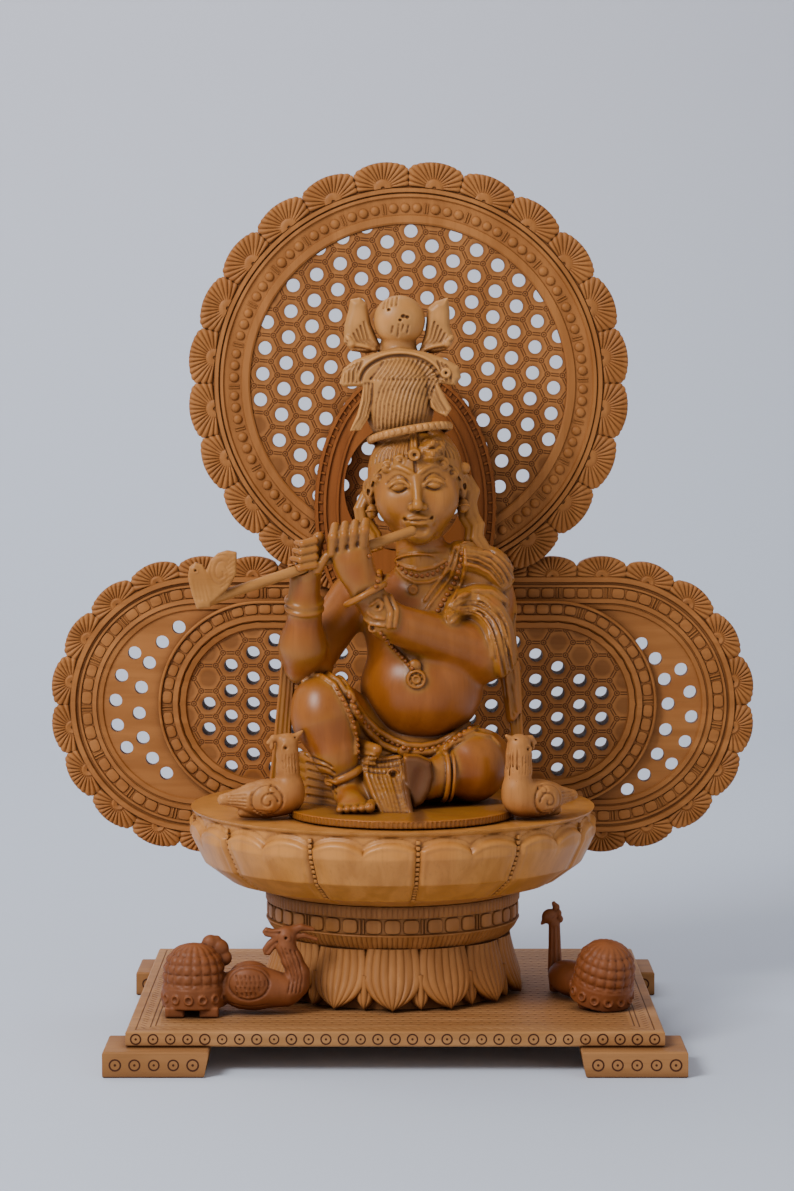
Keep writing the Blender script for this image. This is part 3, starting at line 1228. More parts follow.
class Carving:
    """A block of cells that forms are blended into and cut from, in millimetres."""

    def __init__(self, low, high, step):
        self.low, self.step = np.array(low, float), step
        counts = np.ceil((np.array(high, float) - self.low) / step).astype(int) + 1
        self.axes = [self.low[k] + step * np.arange(counts[k]) for k in range(3)]
        self.field = np.full(counts, 30.0, np.float32)

    def window(self, low, high):
        """Cells inside a box: their slices and their coordinates."""
        first = np.floor((np.asarray(low) - self.low) / self.step).astype(int)
        last = np.ceil((np.asarray(high) - self.low) / self.step).astype(int) + 1
        first, last = np.clip(first, 0, self.field.shape), np.clip(last, 0, self.field.shape)
        cells = tuple(slice(a, b) for a, b in zip(first, last, strict=True))
        x, y, z = (self.axes[k][cells[k]].astype(np.float32) for k in range(3))
        return cells, (x[:, None, None], y[None, :, None], z[None, None, :])

    def blend(self, cells, distance, soft=0.0, cut=False):
        """Joins a form to the block, or cuts it away, with a soft seam."""
        here = self.field[cells]
        sign = -1 if cut else 1
        here = here * sign
        merged = np.minimum(here, distance)
        if soft > 0:
            overlap = np.maximum(soft - np.abs(here - distance), 0) / soft
            merged = merged - overlap**2 * (soft / 4)
        self.field[cells] = merged * sign

    def ball(self, centre, radii, soft=1.5, cut=False, tilt=0.0):
        """Ellipsoid; tilt in degrees turns it about Y."""
        reach = max(radii) + soft + 2
        centre = np.asarray(centre, float)
        cells, (x, y, z) = self.window(centre - reach, centre + reach)
        x, y, z = x - centre[0], y - centre[1], z - centre[2]
        if tilt:
            c, s = math.cos(math.radians(tilt)), math.sin(math.radians(tilt))
            x, z = x * c - z * s, x * s + z * c
        a, b, c = radii
        near = np.sqrt((x / a) ** 2 + (y / b) ** 2 + (z / c) ** 2)
        steep = np.sqrt((x / a**2) ** 2 + (y / b**2) ** 2 + (z / c**2) ** 2)
        self.blend(cells, near * (near - 1) / np.maximum(steep, 1e-4), soft, cut)

    def limb(self, start, end, r1, r2=None, soft=1.5, cut=False):
        """Round stick between two points, with its own radius at each end."""
        start, end = np.asarray(start, float), np.asarray(end, float)
        r2 = r1 if r2 is None else r2
        reach = max(r1, r2) + soft + 3 * self.step
        cells, (x, y, z) = self.window(np.minimum(start, end) - reach,
                                       np.maximum(start, end) + reach)
        if 0 in self.field[cells].shape:
            return
        way = end - start
        x, y, z = x - start[0], y - start[1], z - start[2]
        share = (x * way[0] + y * way[1] + z * way[2]) / max(way @ way, 1e-9)
        share = np.clip(share, 0, 1)
        away = np.sqrt((x - share * way[0]) ** 2 + (y - share * way[1]) ** 2
                       + (z - share * way[2]) ** 2)
        self.blend(cells, away - (r1 + (r2 - r1) * share), soft, cut)

    def strand(self, points, radius, soft=0.3, cut=False, end=None):
        """Round cord through points; it may taper to another radius."""
        points = np.asarray(points, float)
        radii = np.linspace(radius, radius if end is None else end, len(points))
        for k in range(len(points) - 1):
            self.limb(points[k], points[k + 1], radii[k], radii[k + 1], soft, cut)

    def ring(self, centre, axis, radius, thickness, soft=0.5, flat=1.0):
        """Hoop about an axis; flat stretches it along the axis."""
        centre, axis = np.asarray(centre, float), np.asarray(axis, float)
        axis = axis / np.linalg.norm(axis)
        reach = radius + thickness * max(flat, 1) + soft + 2
        cells, (x, y, z) = self.window(centre - reach, centre + reach)
        x, y, z = x - centre[0], y - centre[1], z - centre[2]
        along = x * axis[0] + y * axis[1] + z * axis[2]
        away = np.sqrt(np.maximum(x**2 + y**2 + z**2 - along**2, 0))
        self.blend(cells, np.hypot(away - radius, along / flat) - thickness, soft)

    def board(self, outline, front, back, edge=0.6, soft=0.8, cut=False):
        """Flat form: an outline of (x, z) points between a front and a back plane."""
        outline = np.asarray(outline, float)
        low = [outline[:, 0].min() - 4, front - 4, outline[:, 1].min() - 4]
        high = [outline[:, 0].max() + 4, back + 4, outline[:, 1].max() + 4]
        cells, (x, y, z) = self.window(low, high)
        if 0 in self.field[cells].shape:
            return
        away = np.full((x.size, z.size), np.inf, np.float32)
        inside = np.zeros((x.size, z.size), bool)
        px, pz = x[:, :, 0], z[:, 0, :]
        for (ax, az), (bx, bz) in zip(outline, np.roll(outline, -1, 0), strict=True):
            ex, ez = bx - ax, bz - az
            share = np.clip(((px - ax) * ex + (pz - az) * ez) / (ex * ex + ez * ez + 1e-9), 0, 1)
            away = np.minimum(away, np.hypot(px - ax - share * ex, pz - az - share * ez))
            if az != bz:
                crossing = (az > pz) != (bz > pz)
                inside ^= crossing & (px < (bx - ax) * (pz - az) / (bz - az) + ax)
        flat = np.where(inside, -away, away)[:, None, :] + edge
        deep = np.abs(y - (front + back) / 2) - (back - front) / 2 + edge
        distance = np.hypot(np.maximum(flat, 0), np.maximum(deep, 0))
        distance = distance + np.minimum(np.maximum(flat, deep), 0) - edge
        self.blend(cells, distance, soft, cut)

    def sample(self, points):
        """The field at points, between the cells."""
        place = (np.asarray(points) - self.low) / self.step
        first = np.clip(np.floor(place).astype(int), 0, np.array(self.field.shape) - 2)
        share = np.clip(place - first, 0, 1)
        total = 0
        for corner in np.ndindex(2, 2, 2):
            weight = np.prod(np.where(corner, share, 1 - share), axis=-1)
            total = total + weight * self.field[tuple((first + corner).T)]
        return total

    def seen(self, marks, spacing=0.5, straight=False):
        """Where marks on the plane y = 0 meet the surface: as the camera sees them, or straight."""
        x, z = even_line(marks, spacing).T
        eye = np.array(CAMERA_PLACE) - [0, 0, FIGURE_BASE]
        depth = np.arange(self.axes[1][0], self.axes[1][-1], self.step / 2)
        share = np.ones_like(depth) if straight else (depth - eye[1]) / (0 - eye[1])
        lines = np.stack([eye[0] + (x[:, None] - eye[0]) * share,
                          np.broadcast_to(depth, (len(x), len(depth))),
                          eye[2] + (z[:, None] - eye[2]) * share], -1)
        within = (lines >= self.low) & (lines <= [axis[-1] for axis in self.axes])
        values = np.where(within.all(-1), self.sample(lines.reshape(-1, 3)).reshape(len(x), -1), 9)
        hit = values < 0
        first = hit.argmax(1)
        return lines[np.arange(len(x)), first][hit.any(1)]

    def draw(self, marks, radius=0.5, soft=0.3, cut=True, lift=0.0, end=None, straight=False):
        """Engraves a line on the front, or lays a cord along it."""
        points = self.seen(marks, 0.5, straight)
        if len(points) > 1:
            points[:, 1] -= lift
            self.lay(points, radius, soft, cut, end)
        return points

    def lay(self, points, radius, soft=0.3, cut=False, end=None):
        """Cord or groove through points on the front, broken where they jump in depth."""
        jumps = np.flatnonzero(np.abs(np.diff(points[:, 1])) > DEPTH_JUMP) + 1
        for run in np.split(points, jumps):
            if len(run) > 1:
                self.strand(run, radius, soft, cut, end)

    def trim(self, height):
        """Cuts away all that is under a level."""
        z = self.axes[2][None, None, :]
        self.field = np.maximum(self.field, (height - z).astype(np.float32))

    def blurred(self, reach):
        """Field averaged over a cube of cells."""
        block = np.clip(self.field, -3, 3).astype(np.float64)
        for k in range(3):
            padded = np.concatenate([np.repeat(np.take(block, [0], k), reach + 1, k), block,
                                     np.repeat(np.take(block, [-1], k), reach, k)], k)
            total = np.cumsum(padded, k)
            n = block.shape[k]
            upper = np.take(total, np.arange(n) + 2 * reach + 1, k)
            block = (upper - np.take(total, np.arange(n), k)) / (2 * reach + 1)
        return block

    def surface(self, name, offset, reach=1.3):
        """The block's surface as one mesh in metres, with how hollow it is at each point."""
        field = self.field
        for k in range(3):
            edge = [slice(None)] * 3
            for end in (0, -1):
                edge[k] = end
                field[tuple(edge)] = np.maximum(field[tuple(edge)], 0.05)
        inside = field < 0
        shape = np.array(field.shape)
        strides = np.array([shape[1] * shape[2], shape[2], 1])
        owners, places, quads = [], [], []
        for k in range(3):
            low, high = [slice(None)] * 3, [slice(None)] * 3
            low[k], high[k] = slice(0, -1), slice(1, None)
            crossing = inside[tuple(low)] != inside[tuple(high)]
            at = np.stack(np.nonzero(crossing), -1)
            before, after = field[tuple(low)][crossing], field[tuple(high)][crossing]
            spot = at.astype(float)
            spot[:, k] += before / (before - after)
            a, b = (k + 1) % 3, (k + 2) % 3
            corners = []
            for da, db in ((1, 1), (0, 1), (0, 0), (1, 0)):
                cell = at.copy()
                cell[:, a] -= da
                cell[:, b] -= db
                key = cell @ strides
                corners.append(key)
                owners.append(key)
                places.append(spot)
            quad = np.stack(corners, -1)
            turned = inside[tuple(low)][crossing]
            quads.append(np.where(turned[:, None], quad, quad[:, ::-1]))
        owners, places, quads = map(np.concatenate, (owners, places, quads))
        cells, index = np.unique(owners, return_inverse=True)
        count = np.bincount(index)
        points = np.stack([np.bincount(index, places[:, k]) / count for k in range(3)], -1)
        points = self.low + points * self.step
        spread = Carving.__new__(Carving)
        spread.low, spread.step = self.low, self.step
        spread.field = self.blurred(max(1, round(reach / self.step)))
        hollow = -spread.sample(points)
        shell = Shell().add(points + offset, np.searchsorted(cells, quads))
        mesh = shell.mesh(name, 180)
        edges = np.zeros(2 * len(mesh.edges), np.int32)
        mesh.edges.foreach_get("vertices", edges)
        a, b = edges.reshape(-1, 2).T
        worked, near = np.abs(hollow), np.bincount(edges, minlength=len(hollow)) + 1
        for _ in range(30):
            total = np.bincount(a, worked[b], len(hollow)) + np.bincount(b, worked[a], len(hollow))
            worked = (worked + total) / near
        for label, values in (("hollow", hollow), ("worked", worked)):
            layer = mesh.attributes.new(label, "FLOAT", "POINT").data
            layer.foreach_set("value", values.astype(np.float32))
        return mesh


def thinned(mesh, faces):
    """Fewer faces when a carved mesh has more triangles than wanted."""
    total = 2 * len(mesh.polygons)
    if total <= faces:
        return mesh
    carrier = bpy.data.objects.new("thinning", mesh)
    bpy.context.scene.collection.objects.link(carrier)
    modifier = carrier.modifiers.new("Thinning", "DECIMATE")
    modifier.ratio = faces / total
    graph = bpy.context.evaluated_depsgraph_get()
    made = bpy.data.meshes.new_from_object(carrier.evaluated_get(graph), depsgraph=graph)
    bpy.data.objects.remove(carrier)
    return made


# Lines of the figure, as (x, z) on the plane y = 0 as the camera sees them, in millimetres

NECKLACES = [
    [(-2.1, 84.0), (1.3, 82.1), (5.7, 81.1), (10.5, 82.1), (14.9, 84.5)],
    [(-2.1, 81.8), (0.4, 78.9), (4.2, 76.7), (9.1, 76.9), (13.4, 78.9), (16.0, 81.6)],
]
NECKLACE_ROW = [(-1.6, 82.9), (1.3, 80.2), (5.7, 78.9), (10.5, 79.9), (15.1, 83.2)]
GARLAND_EDGES = [
    [(19.5, 89.4), (18.5, 84.5), (16.6, 79.1), (13.0, 73.8), (9.6, 69.4), (8.1, 67.0)],
    [(21.6, 88.4), (21.7, 82.5), (20.2, 76.7), (17.8, 71.8), (14.9, 66.5)],
    [(17.8, 88.9), (16.6, 84.5), (14.4, 80.1), (11.0, 75.2), (7.6, 70.4)],
]
GARLAND_ROW = [(20.5, 86.9), (19.7, 82.1), (17.8, 76.7), (14.9, 71.8), (12.2, 67.0)]
CHAIN = [(-7.6, 59.2), (-4.5, 55.3), (-1.6, 52.3), (1.8, 48.7), (3.3, 47.0)]
ARMLET_BANDS = [
    [(-4.5, 72.3), (-2.1, 67.0), (-2.8, 61.6)],
    [(-6.4, 71.8), (-4.0, 66.5), (-4.7, 61.4)],
]
ARMLET_LINES = [
    [(-11.3, 69.0), (-8.6, 71.0), (-6.6, 69.0)],
    [(-12.2, 66.5), (-9.8, 64.6), (-6.4, 64.2)],
    [(-13.2, 64.2), (-10.8, 62.4), (-6.4, 61.8)],
]
SHAWL_FOLDS = [
    [(15.9, 65.0), (19.3, 68.2), (24.1, 68.7), (28.9, 66.5), (32.3, 62.1), (34.3, 56.2),
     (36.0, 47.0), (37.2, 37.2), (37.7, 29.3)],
    [(17.3, 68.9), (22.2, 71.4), (28.0, 71.1), (33.3, 67.0), (36.2, 61.6), (37.2, 54.3),
     (38.6, 42.1), (39.6, 32.3)],
    [(19.7, 71.8), (25.1, 74.0), (30.9, 73.8), (35.7, 69.9)],
    [(21.9, 87.2), (26.5, 86.4), (31.4, 83.8), (34.8, 79.6), (36.2, 76.2)],
    [(18.3, 89.1), (24.1, 89.9), (29.9, 89.1), (34.8, 85.7), (39.1, 79.6)],
    [(24.1, 91.3), (29.9, 91.5), (35.2, 88.9), (40.1, 83.5)],
    [(22.2, 83.5), (26.0, 82.5), (30.4, 80.1), (34.3, 75.2)],
    [(16.6, 63.1), (19.7, 66.0), (24.1, 66.5), (27.5, 64.5), (29.9, 61.1), (30.6, 56.7)],
]
CHEST_LOCKS = [
    [(-11.8, 85.9), (-9.3, 84.0), (-8.4, 78.2), (-9.3, 75.2)],
    [(-6.4, 87.4), (-7.4, 82.1), (-8.4, 76.2)],
    [(-9.0, 87.0), (-7.9, 81.0), (-8.6, 75.8)],
]
KNEE_BANDS = [
    [(-34.5, 42.4), (-32.1, 44.5), (-28.4, 44.5), (-23.7, 41.3), (-20.5, 35.5), (-17.8, 29.1),
     (-16.5, 22.7), (-16.3, 17.3)],
    [(-33.2, 44.0), (-30.0, 45.9), (-26.3, 45.4), (-22.1, 42.4), (-18.4, 36.6), (-16.0, 30.2)],
    [(-30.5, 46.7), (-25.8, 46.4), (-21.0, 43.2), (-17.3, 37.6)],
]
CLOTH_STRIPES = [
    [(-33.7, 17.1), (-31.1, 15.7), (-27.4, 14.1), (-24.7, 12.5)],
    [(-33.4, 14.1), (-30.0, 13.1), (-26.3, 12.0), (-23.7, 10.4)],
    [(-33.2, 11.5), (-29.5, 10.4), (-25.8, 9.6), (-23.4, 8.0)],
    [(-33.2, 8.5), (-29.5, 7.6), (-25.8, 6.9), (-23.1, 5.6)],
    [(-33.2, 5.6), (-29.5, 4.8), (-25.8, 4.2), (-23.1, 3.1)],
    [(-33.4, 2.6), (-29.5, 1.9), (-25.8, 1.5), (-23.7, 0.7)],
]
BELTS = [
    [(-19.2, 39.8), (-16.3, 34.4), (-13.1, 29.6), (-8.9, 25.4), (-3.6, 22.2), (1.7, 20.1),
     (7.0, 19.9), (12.3, 21.0), (17.6, 23.8), (22.9, 27.8), (28.1, 31.8)],
    [(-17.8, 33.9), (-14.7, 28.8), (-11.5, 24.3), (-7.3, 20.5), (-2.5, 18.4), (3.3, 17.5),
     (9.6, 17.6), (14.9, 19.4), (20.2, 23.0), (25.5, 26.2), (29.2, 29.4)],
]
BELT_ROW = [(-18.6, 37.1), (-15.7, 31.8), (-12.3, 27.0), (-8.1, 23.1), (-3.0, 20.4), (1.7, 18.9),
            (7.0, 18.6), (12.3, 19.6), (17.6, 22.2), (22.9, 25.9), (28.1, 29.9)]
FAN_PLEATS = [
    [(-12.0, 16.3), (-12.0, 9.8), (-9.4, 2.6), (-6.2, -4.6)],
    [(-9.4, 15.2), (-8.9, 8.8), (-6.7, 2.9), (-4.1, -4.6)],
    [(-6.7, 14.7), (-5.7, 8.8), (-3.6, 2.3), (-2.0, -5.2)],
    [(-4.1, 14.7), (-2.6, 7.7), (-1.0, 1.3), (0.3, -4.6)],
    [(-1.5, 15.2), (-0.4, 8.8), (0.7, 3.4), (2.0, -3.6)],
]
FAN_HATCH = [
    [(-14.1, 16.4), (-9.9, 16.0), (-5.7, 16.4), (-0.4, 17.4)],
    [(-13.9, 14.8), (-9.4, 14.3), (-5.2, 14.5), (-0.4, 15.3)],
    [(-13.5, 13.0), (-8.9, 12.4), (-4.6, 12.6), (-0.1, 13.3)],
    [(-13.2, 11.1), (-8.9, 10.5), (-4.6, 10.3)],
]
THIGH_FOLDS = [
    [(14.4, 17.1), (18.6, 21.4), (25.0, 24.2), (30.8, 23.1), (33.4, 20.3)],
    [(14.9, 18.4), (18.6, 22.7), (25.0, 25.6), (30.3, 24.8)],
    [(12.3, 17.3), (16.5, 20.0)],
]

FLUTE_MOUTH = np.array((3.0, -26.0, 96.0))
FLUTE_WAY = np.array((-70.0, -19.0, -23.0)) / np.linalg.norm((-70.0, -19.0, -23.0))
FLUTE_END = FLUTE_MOUTH + 76 * FLUTE_WAY


def seen_at(marks, y):
    """Marks on the plane y = 0, as the camera sees them, moved to their own depths."""
    marks, y = np.asarray(marks, float), np.asarray(y, float)
    eye = np.array(CAMERA_PLACE) - [0, 0, FIGURE_BASE]
    share = (y - eye[1]) / (0 - eye[1])
    return np.stack([eye[0] + (marks[:, 0] - eye[0]) * share, np.broadcast_to(y, len(marks)),
                     eye[2] + (marks[:, 1] - eye[2]) * share], -1)


def bead_places(block, marks, pitch, lift=0.0, straight=False):
    """Places and outward directions of beads along a line on the block's front."""
    points = block.seen(marks, pitch, straight)
    slope = np.stack([
        block.sample(points + np.eye(3)[k] * 0.6) - block.sample(points - np.eye(3)[k] * 0.6)
        for k in range(3)
    ], -1)
    slope /= np.maximum(np.linalg.norm(slope, axis=1, keepdims=True), 1e-6)
    return points + slope * lift, slope


def set_beads(name, found, sizes, wood):
    """Copies beads to the gathered places of a carved block."""
    places = np.concatenate([points for points, _ in found]) + (0, 0, FIGURE_BASE)
    normals = np.concatenate([slope for _, slope in found])
    each = np.concatenate([np.tile((s, s * 0.9, s), (len(points), 1))
                           for (points, _), s in zip(found, sizes, strict=True)])
    copied(name, bead_stamp(), places, facing_turns(normals), each, wood, "figure_wood",
           "krishna_figure")


def carve_mat(c):
    """Round mat whose rim is cut with short upright strokes."""
    cells, (x, y, z) = c.window([-48, -66, -1], [46, 12, 6])
    away = np.hypot((x + 0.5) / 38.3, (y + 28) / 36.3)
    stroke = 0.35 * np.abs(np.sin(np.arctan2((y + 28) / 36.3, (x + 0.5) / 38.3) * 74))
    edge = (away - 1) * 37 + stroke * (z < 2.3)
    c.blend(cells, np.maximum(edge, np.abs(z - 1.3) - 1.3), 0.2)


def carve_legs(c):
    """Both legs, the left foot with its toes, and the upturned sole."""
    c.ball((2, -5, 14), (28, 17, 17), 2)
    c.limb((-8, -5, 19), (-27, -20, 37), 12.5, 10, 3)
    c.ball((-26.6, -25, 34.6), (11.3, 11, 12.6), 3, tilt=-12)
    c.limb((-26.2, -26, 31), (-22.4, -28, 19.5), 10.6, 7.4, 3)
    c.limb((-22.4, -28, 19.5), (-19.4, -29.6, 12.5), 7.4, 4.1, 2)
    c.limb((-19.3, -29.8, 12.5), (-18.4, -31.5, 7.5), 4.0, 4.4, 2)
    c.limb((-18.4, -32, 6.8), (-16.8, -39.5, 4.6), 4.5, 4.4, 2)
    c.ball((-16, -41, 4.0), (6.0, 5.4, 2.5), 2)
    for k in range(5):
        x = -20.8 + 2.45 * k
        big = k == 4
        tip = (x - 0.2, -46.6 - (0.5 if big else 0.35 * k), 3.9 + 0.22 * k)
        c.limb((x + 0.3, -41, 4.7 + 0.2 * k), tip, 1.15 + 0.3 * big, 1.3 + 0.5 * big, 0.2)
        c.strand([(tip[0] - 0.5, tip[1] - 0.9, tip[2] + 1.1), (tip[0] + 0.5, tip[1] - 0.9, tip[2] + 1.1)],
                 0.25, 0.1, True)
    c.limb((14, -4, 17), (26, -12, 16), 13.5, 11.5, 3)
    c.ball((23.5, -20, 15.2), (12, 10.5, 12.2), 3)
    c.limb((17, -24, 14), (8, -28, 11), 8.0, 6.2, 2)
    sole = [(0.1, 20.7), (5.2, 20.4), (9.3, 18.6), (10.2, 13.4), (9.0, 8.5), (6.7, 4.6),
            (3.4, 2.9), (1.1, 9.8)]
    c.board(sole, -36.4, -26, 1.6, 0.5)
    c.ball((5.4, -38.4, 12.6), (2.6, 2.6, 6.2), 1.5, cut=True, tilt=14)


def carve_waist(c):
    """Cloth round the waist and before the sole, with belts, anklets and folds."""
    lines = [np.array(line) for line in FAN_PLEATS]
    for k in np.linspace(0, 4, 9):
        low = int(min(k, 3))
        line = lines[low] + (lines[low + 1] - lines[low]) * (k - low)
        c.strand(seen_at(line, [-27, -31.5, -37.0, -43.0]), 1.5, 0.8, end=1.75)
    for k in range(6):
        top = (-34.5, -14.5 + 0.4 * k, 3 + 2.9 * k)
        c.limb(top, (-21, -27.5 + 0.4 * k, 1.6 + 2.5 * k), 2.3, 2.1, 0.4)
    for k in range(4):
        c.limb((-27 + 2 * k, -18, 17 + 2.5 * k), (-12 + k, -30, 15.5 + 2.2 * k), 2.4, 2.0, 0.5)
    c.limb((-9, -25, 14), (-14, -33, 1), 5.0, 5.4, 2)
    c.ring((-20.0, -29.2, 13.6), (0.42, 0.1, -1), 6.0, 1.05, 0.3, 1.3)
    c.ring((-18.7, -30.8, 9.2), (0.25, 0.4, -1), 4.9, 0.55, 0.2)
    c.ring((13.8, -25.4, 12.6), (-1, -0.2, 0.05), 8.3, 0.85, 0.25)
    c.ring((15.7, -25.0, 12.8), (-1, -0.2, 0.05), 8.6, 0.6, 0.25)
    for marks in KNEE_BANDS:
        c.draw(marks, 0.85, 0.3, False, 0.2)
    for marks in CLOTH_STRIPES:
        c.draw(marks, 0.5, 0.3)
    for marks in BELTS:
        c.draw(marks, 1.15, 0.3, False, 0.5)
    for k in np.linspace(0.25, 3.75, 8):
        low = int(min(k, 3))
        line = lines[low] + (lines[low + 1] - lines[low]) * (k - low)
        c.draw(line, 0.6, 0.3)
    for marks in FAN_HATCH:
        c.draw(marks, 0.36, 0.2)
    for marks in THIGH_FOLDS:
        c.draw(marks, 0.7, 0.3, False, 0.1)
    for point in c.seen([(-3.3, 9.8), (-3.3, 9.9)])[:1]:
        c.ball(point, (0.9, 1.6, 0.9), 0.2, True)
        c.ring(point, (0, 1, 0), 1.9, 0.45, 0.2)
    for point in c.seen([(0.4, 18.0), (0.4, 18.1)])[:1]:
        c.ball(point, (2.2, 1.6, 1.9), 0.3)
        c.ring(point + (0, -1.0, 0), (0, 1, 0), 1.3, 0.4, 0.2)


def carve_torso(c):
    """Belly, chest, shoulders and neck."""
    c.ball((6.6, -9, 41.5), (21.2, 18.5, 18.5), 2)
    c.ball((6, -4, 62), (19.5, 13.2, 19), 6)
    c.limb((-13, -1, 71.5), (25, -1, 72), 7.8, 8.6, 5)
    c.limb((6.2, -4, 76), (6, -6, 92), 8.8, 7.8, 4)
    c.ball((-3.5, -10.5, 66.5), (8, 6, 6.5), 5)
    c.ball((14, -10, 67), (8, 6, 6.5), 5)
    for height, radius in ((87.2, 8.0), (84.6, 8.7)):
        c.ring((6.2, -5.6, height), (0, 0.35, 1), radius, 0.5, 0.25)


def carve_upper_arms(c):
    """Both arms down to the wrists."""
    c.limb((28.5, -1.5, 72), (28.5, -12, 55), 9.4, 8.8, 4)
    c.limb((25.5, -15, 54), (-4.5, -28.5, 65.5), 9.0, 6.6, 4)
    c.ball((27.5, -13, 53), (9, 8, 9), 4)
    c.limb((-6, -29.5, 67), (-12, -31.5, 75), 6.4, 5.2, 2)
    c.limb((-17.5, -1, 71.5), (-31, -15, 52), 8.2, 7.6, 4)
    c.limb((-34.4, -21, 50), (-34, -25, 57), 6.2, 7.3, 4)
    c.limb((-34, -25, 57), (-33.0, -29, 70), 7.3, 5.4, 4)
    c.ball((-31, -18, 47.5), (6, 6, 5), 4)


def carve_left_arm(c):
    """The hand nearer the mouth, its bangle and its armlet."""
    c.limb((-12.4, -32, 76), (-16.6, -33, 86), 5.2, 6.0, 2)
    palm = [(-16.0, 74.5), (-9.3, 77.5), (-10.8, 86), (-11.6, 96.5), (-14, 99.0), (-19, 98.8),
            (-23.2, 97), (-25.6, 93.5), (-24.6, 88), (-20.8, 80)]
    c.board(palm, -38.2, -28.8, 3.6, 2.5)
    for k in range(4):
        x = -23.7 + 3.4 * k
        knuckle, joint = (x, -37.0, 89.4 + 0.9 * k), (x + 0.5, -38.3, 94.6 + 0.7 * k)
        tip = (x + 1.0, -34.8, 98.0 + 0.5 * k)
        c.limb(knuckle, joint, 1.7, 1.85, 0.5)
        c.limb(joint, tip, 1.85, 1.5, 0.4)
    for k in range(3):
        x = -22.0 + 3.4 * k
        c.strand([(x, -39.8, 91.0 + 0.9 * k), (x + 0.5, -40.4, 94.6 + 0.8 * k),
                  (x + 1.0, -37.4, 99.4 + 0.6 * k)], 0.6, 0.5, True)
        c.ball((x, -39.0, 90.2 + 0.9 * k), (0.7, 1.2, 1.0), 0.7, True)
    c.ring((-12.6, -31.8, 75), (-0.55, 0.05, 1), 7.2, 1.15, 0.3)
    for marks in ARMLET_BANDS:
        c.draw(marks, 0.9, 0.3, False, 0.2)
    for marks in ARMLET_LINES:
        c.draw(marks, 0.6, 0.2, False, 0.1)


def carve_right_arm(c):
    """The outer hand, its curled fingers and its bangles."""
    c.limb((-33.2, -29.5, 71), (-31.6, -32.5, 84), 5.2, 4.2, 3)
    c.limb((-31.6, -32.5, 84), (-30.6, -33.0, 90), 4.2, 3.4, 2)
    c.limb((-31.0, -33.4, 88), (-28.2, -33.4, 94.0), 2.5, 2.1, 0.8)
    c.limb((-36.2, -31, 72.5), (-35.9, -33, 80), 2.6, 2.1, 1.2)
    for k in range(4):
        z = 84.2 + 2.7 * k
        c.limb((-29.5, -37.2, z + 1.0), (-34.4 + 0.3 * k, -37.9, z), 1.45, 1.35, 0.3)
        c.limb((-34.4 + 0.3 * k, -37.9, z), (-37.6 + 0.7 * k, -35.2, z + 0.3), 1.3, 1.05, 0.3)
    c.limb((-28.6, -36.0, 83.5), (-25.6, -36.4, 88.2), 1.7, 1.4, 0.5)
    for height in (70.2, 72.6):
        c.ring((-33.3, -28.9, height), (0.05, -0.35, 1), 5.9, 0.95, 0.25)


def lay_cloth(c, folds, thick, between=5):
    """Cloth over the front of a block: full between its folds, each a low soft ridge."""
    lines = [even_line(marks, count=24) for marks in folds]
    sheets = []
    for first, second in zip(lines[:-1], lines[1:], strict=True):
        for share in np.arange(between + 1) / between:
            sheets.append(c.seen(first + (second - first) * share))
    for points in sheets:
        c.lay(points, thick, 1.6, end=thick * 0.5)
    for first, second in zip(lines[:-1], lines[1:], strict=True):
        for share in (0.0, 0.5):
            c.draw(first + (second - first) * share, 0.8, 0.7, False, -0.15, 0.3)
        for share in (0.25, 0.75):
            c.draw(first + (second - first) * share, 0.42, 0.6, end=0.2)
    c.draw(lines[-1], 0.8, 0.7, False, -0.1, 0.3)


def dress_torso(c):
    """Shawl folds, necklaces, garland and chain laid over the body."""
    c.limb((14, -7, 85), (29.5, -4, 80.5), 6.0, 6.6, 3)
    c.limb((29.5, -4, 80.5), (33, -1, 68), 6.4, 6.0, 3)
    lay_cloth(c, [SHAWL_FOLDS[k] for k in (7, 0, 1, 2)], 1.5)
    lay_cloth(c, [SHAWL_FOLDS[k] for k in (6, 3, 4, 5)], 1.5)
    for marks in CHEST_LOCKS:
        c.draw(marks, 1.1, 0.3, False, 0.1, end=0.8)
    for marks in (*NECKLACES, *GARLAND_EDGES):
        c.draw(marks, 0.6, 0.2, False, 0.1)
    c.draw(CHAIN, 0.7, 0.2, False)
    rosette = c.seen([(4.7, 43.3), (4.7, 43.4)])[0]
    c.ball(rosette, (3.4, 1.8, 3.4), 0.3)
    c.ball(rosette + (-0.5, 0.4, 4.4), (2.2, 1.5, 2.4), 0.3)
    c.ring(rosette + (0, -1.5, 0), (0, 1, 0.1), 2.8, 0.5, 0.15)
    c.ring(rosette + (0, -1.8, 0), (0, 1, 0.1), 1.2, 0.45, 0.15)
    for angle in np.arange(8) * TAU / 8:
        c.ball(rosette + (2 * math.cos(angle), -1.9, 2 * math.sin(angle)), (0.45, 0.9, 0.45), 0.1,
               True)
    pendant = c.seen([(3.6, 74.3), (3.6, 74.4)])[0]
    c.ball(pendant, (1.7, 1.2, 1.7), 0.2)
    c.ring(pendant + (0, -0.9, 0), (0, 1, 0), 1.2, 0.5, 0.1)
    for mark in ((-8.6, 68.4), (-10.3, 61.1)):
        spot = c.seen([mark, (mark[0], mark[1] + 0.1)])[0]
        c.ring(spot, (0, 1, 0), 1.35, 0.45, 0.1)
        c.ball(spot, (0.5, 0.9, 0.5), 0.1, True)


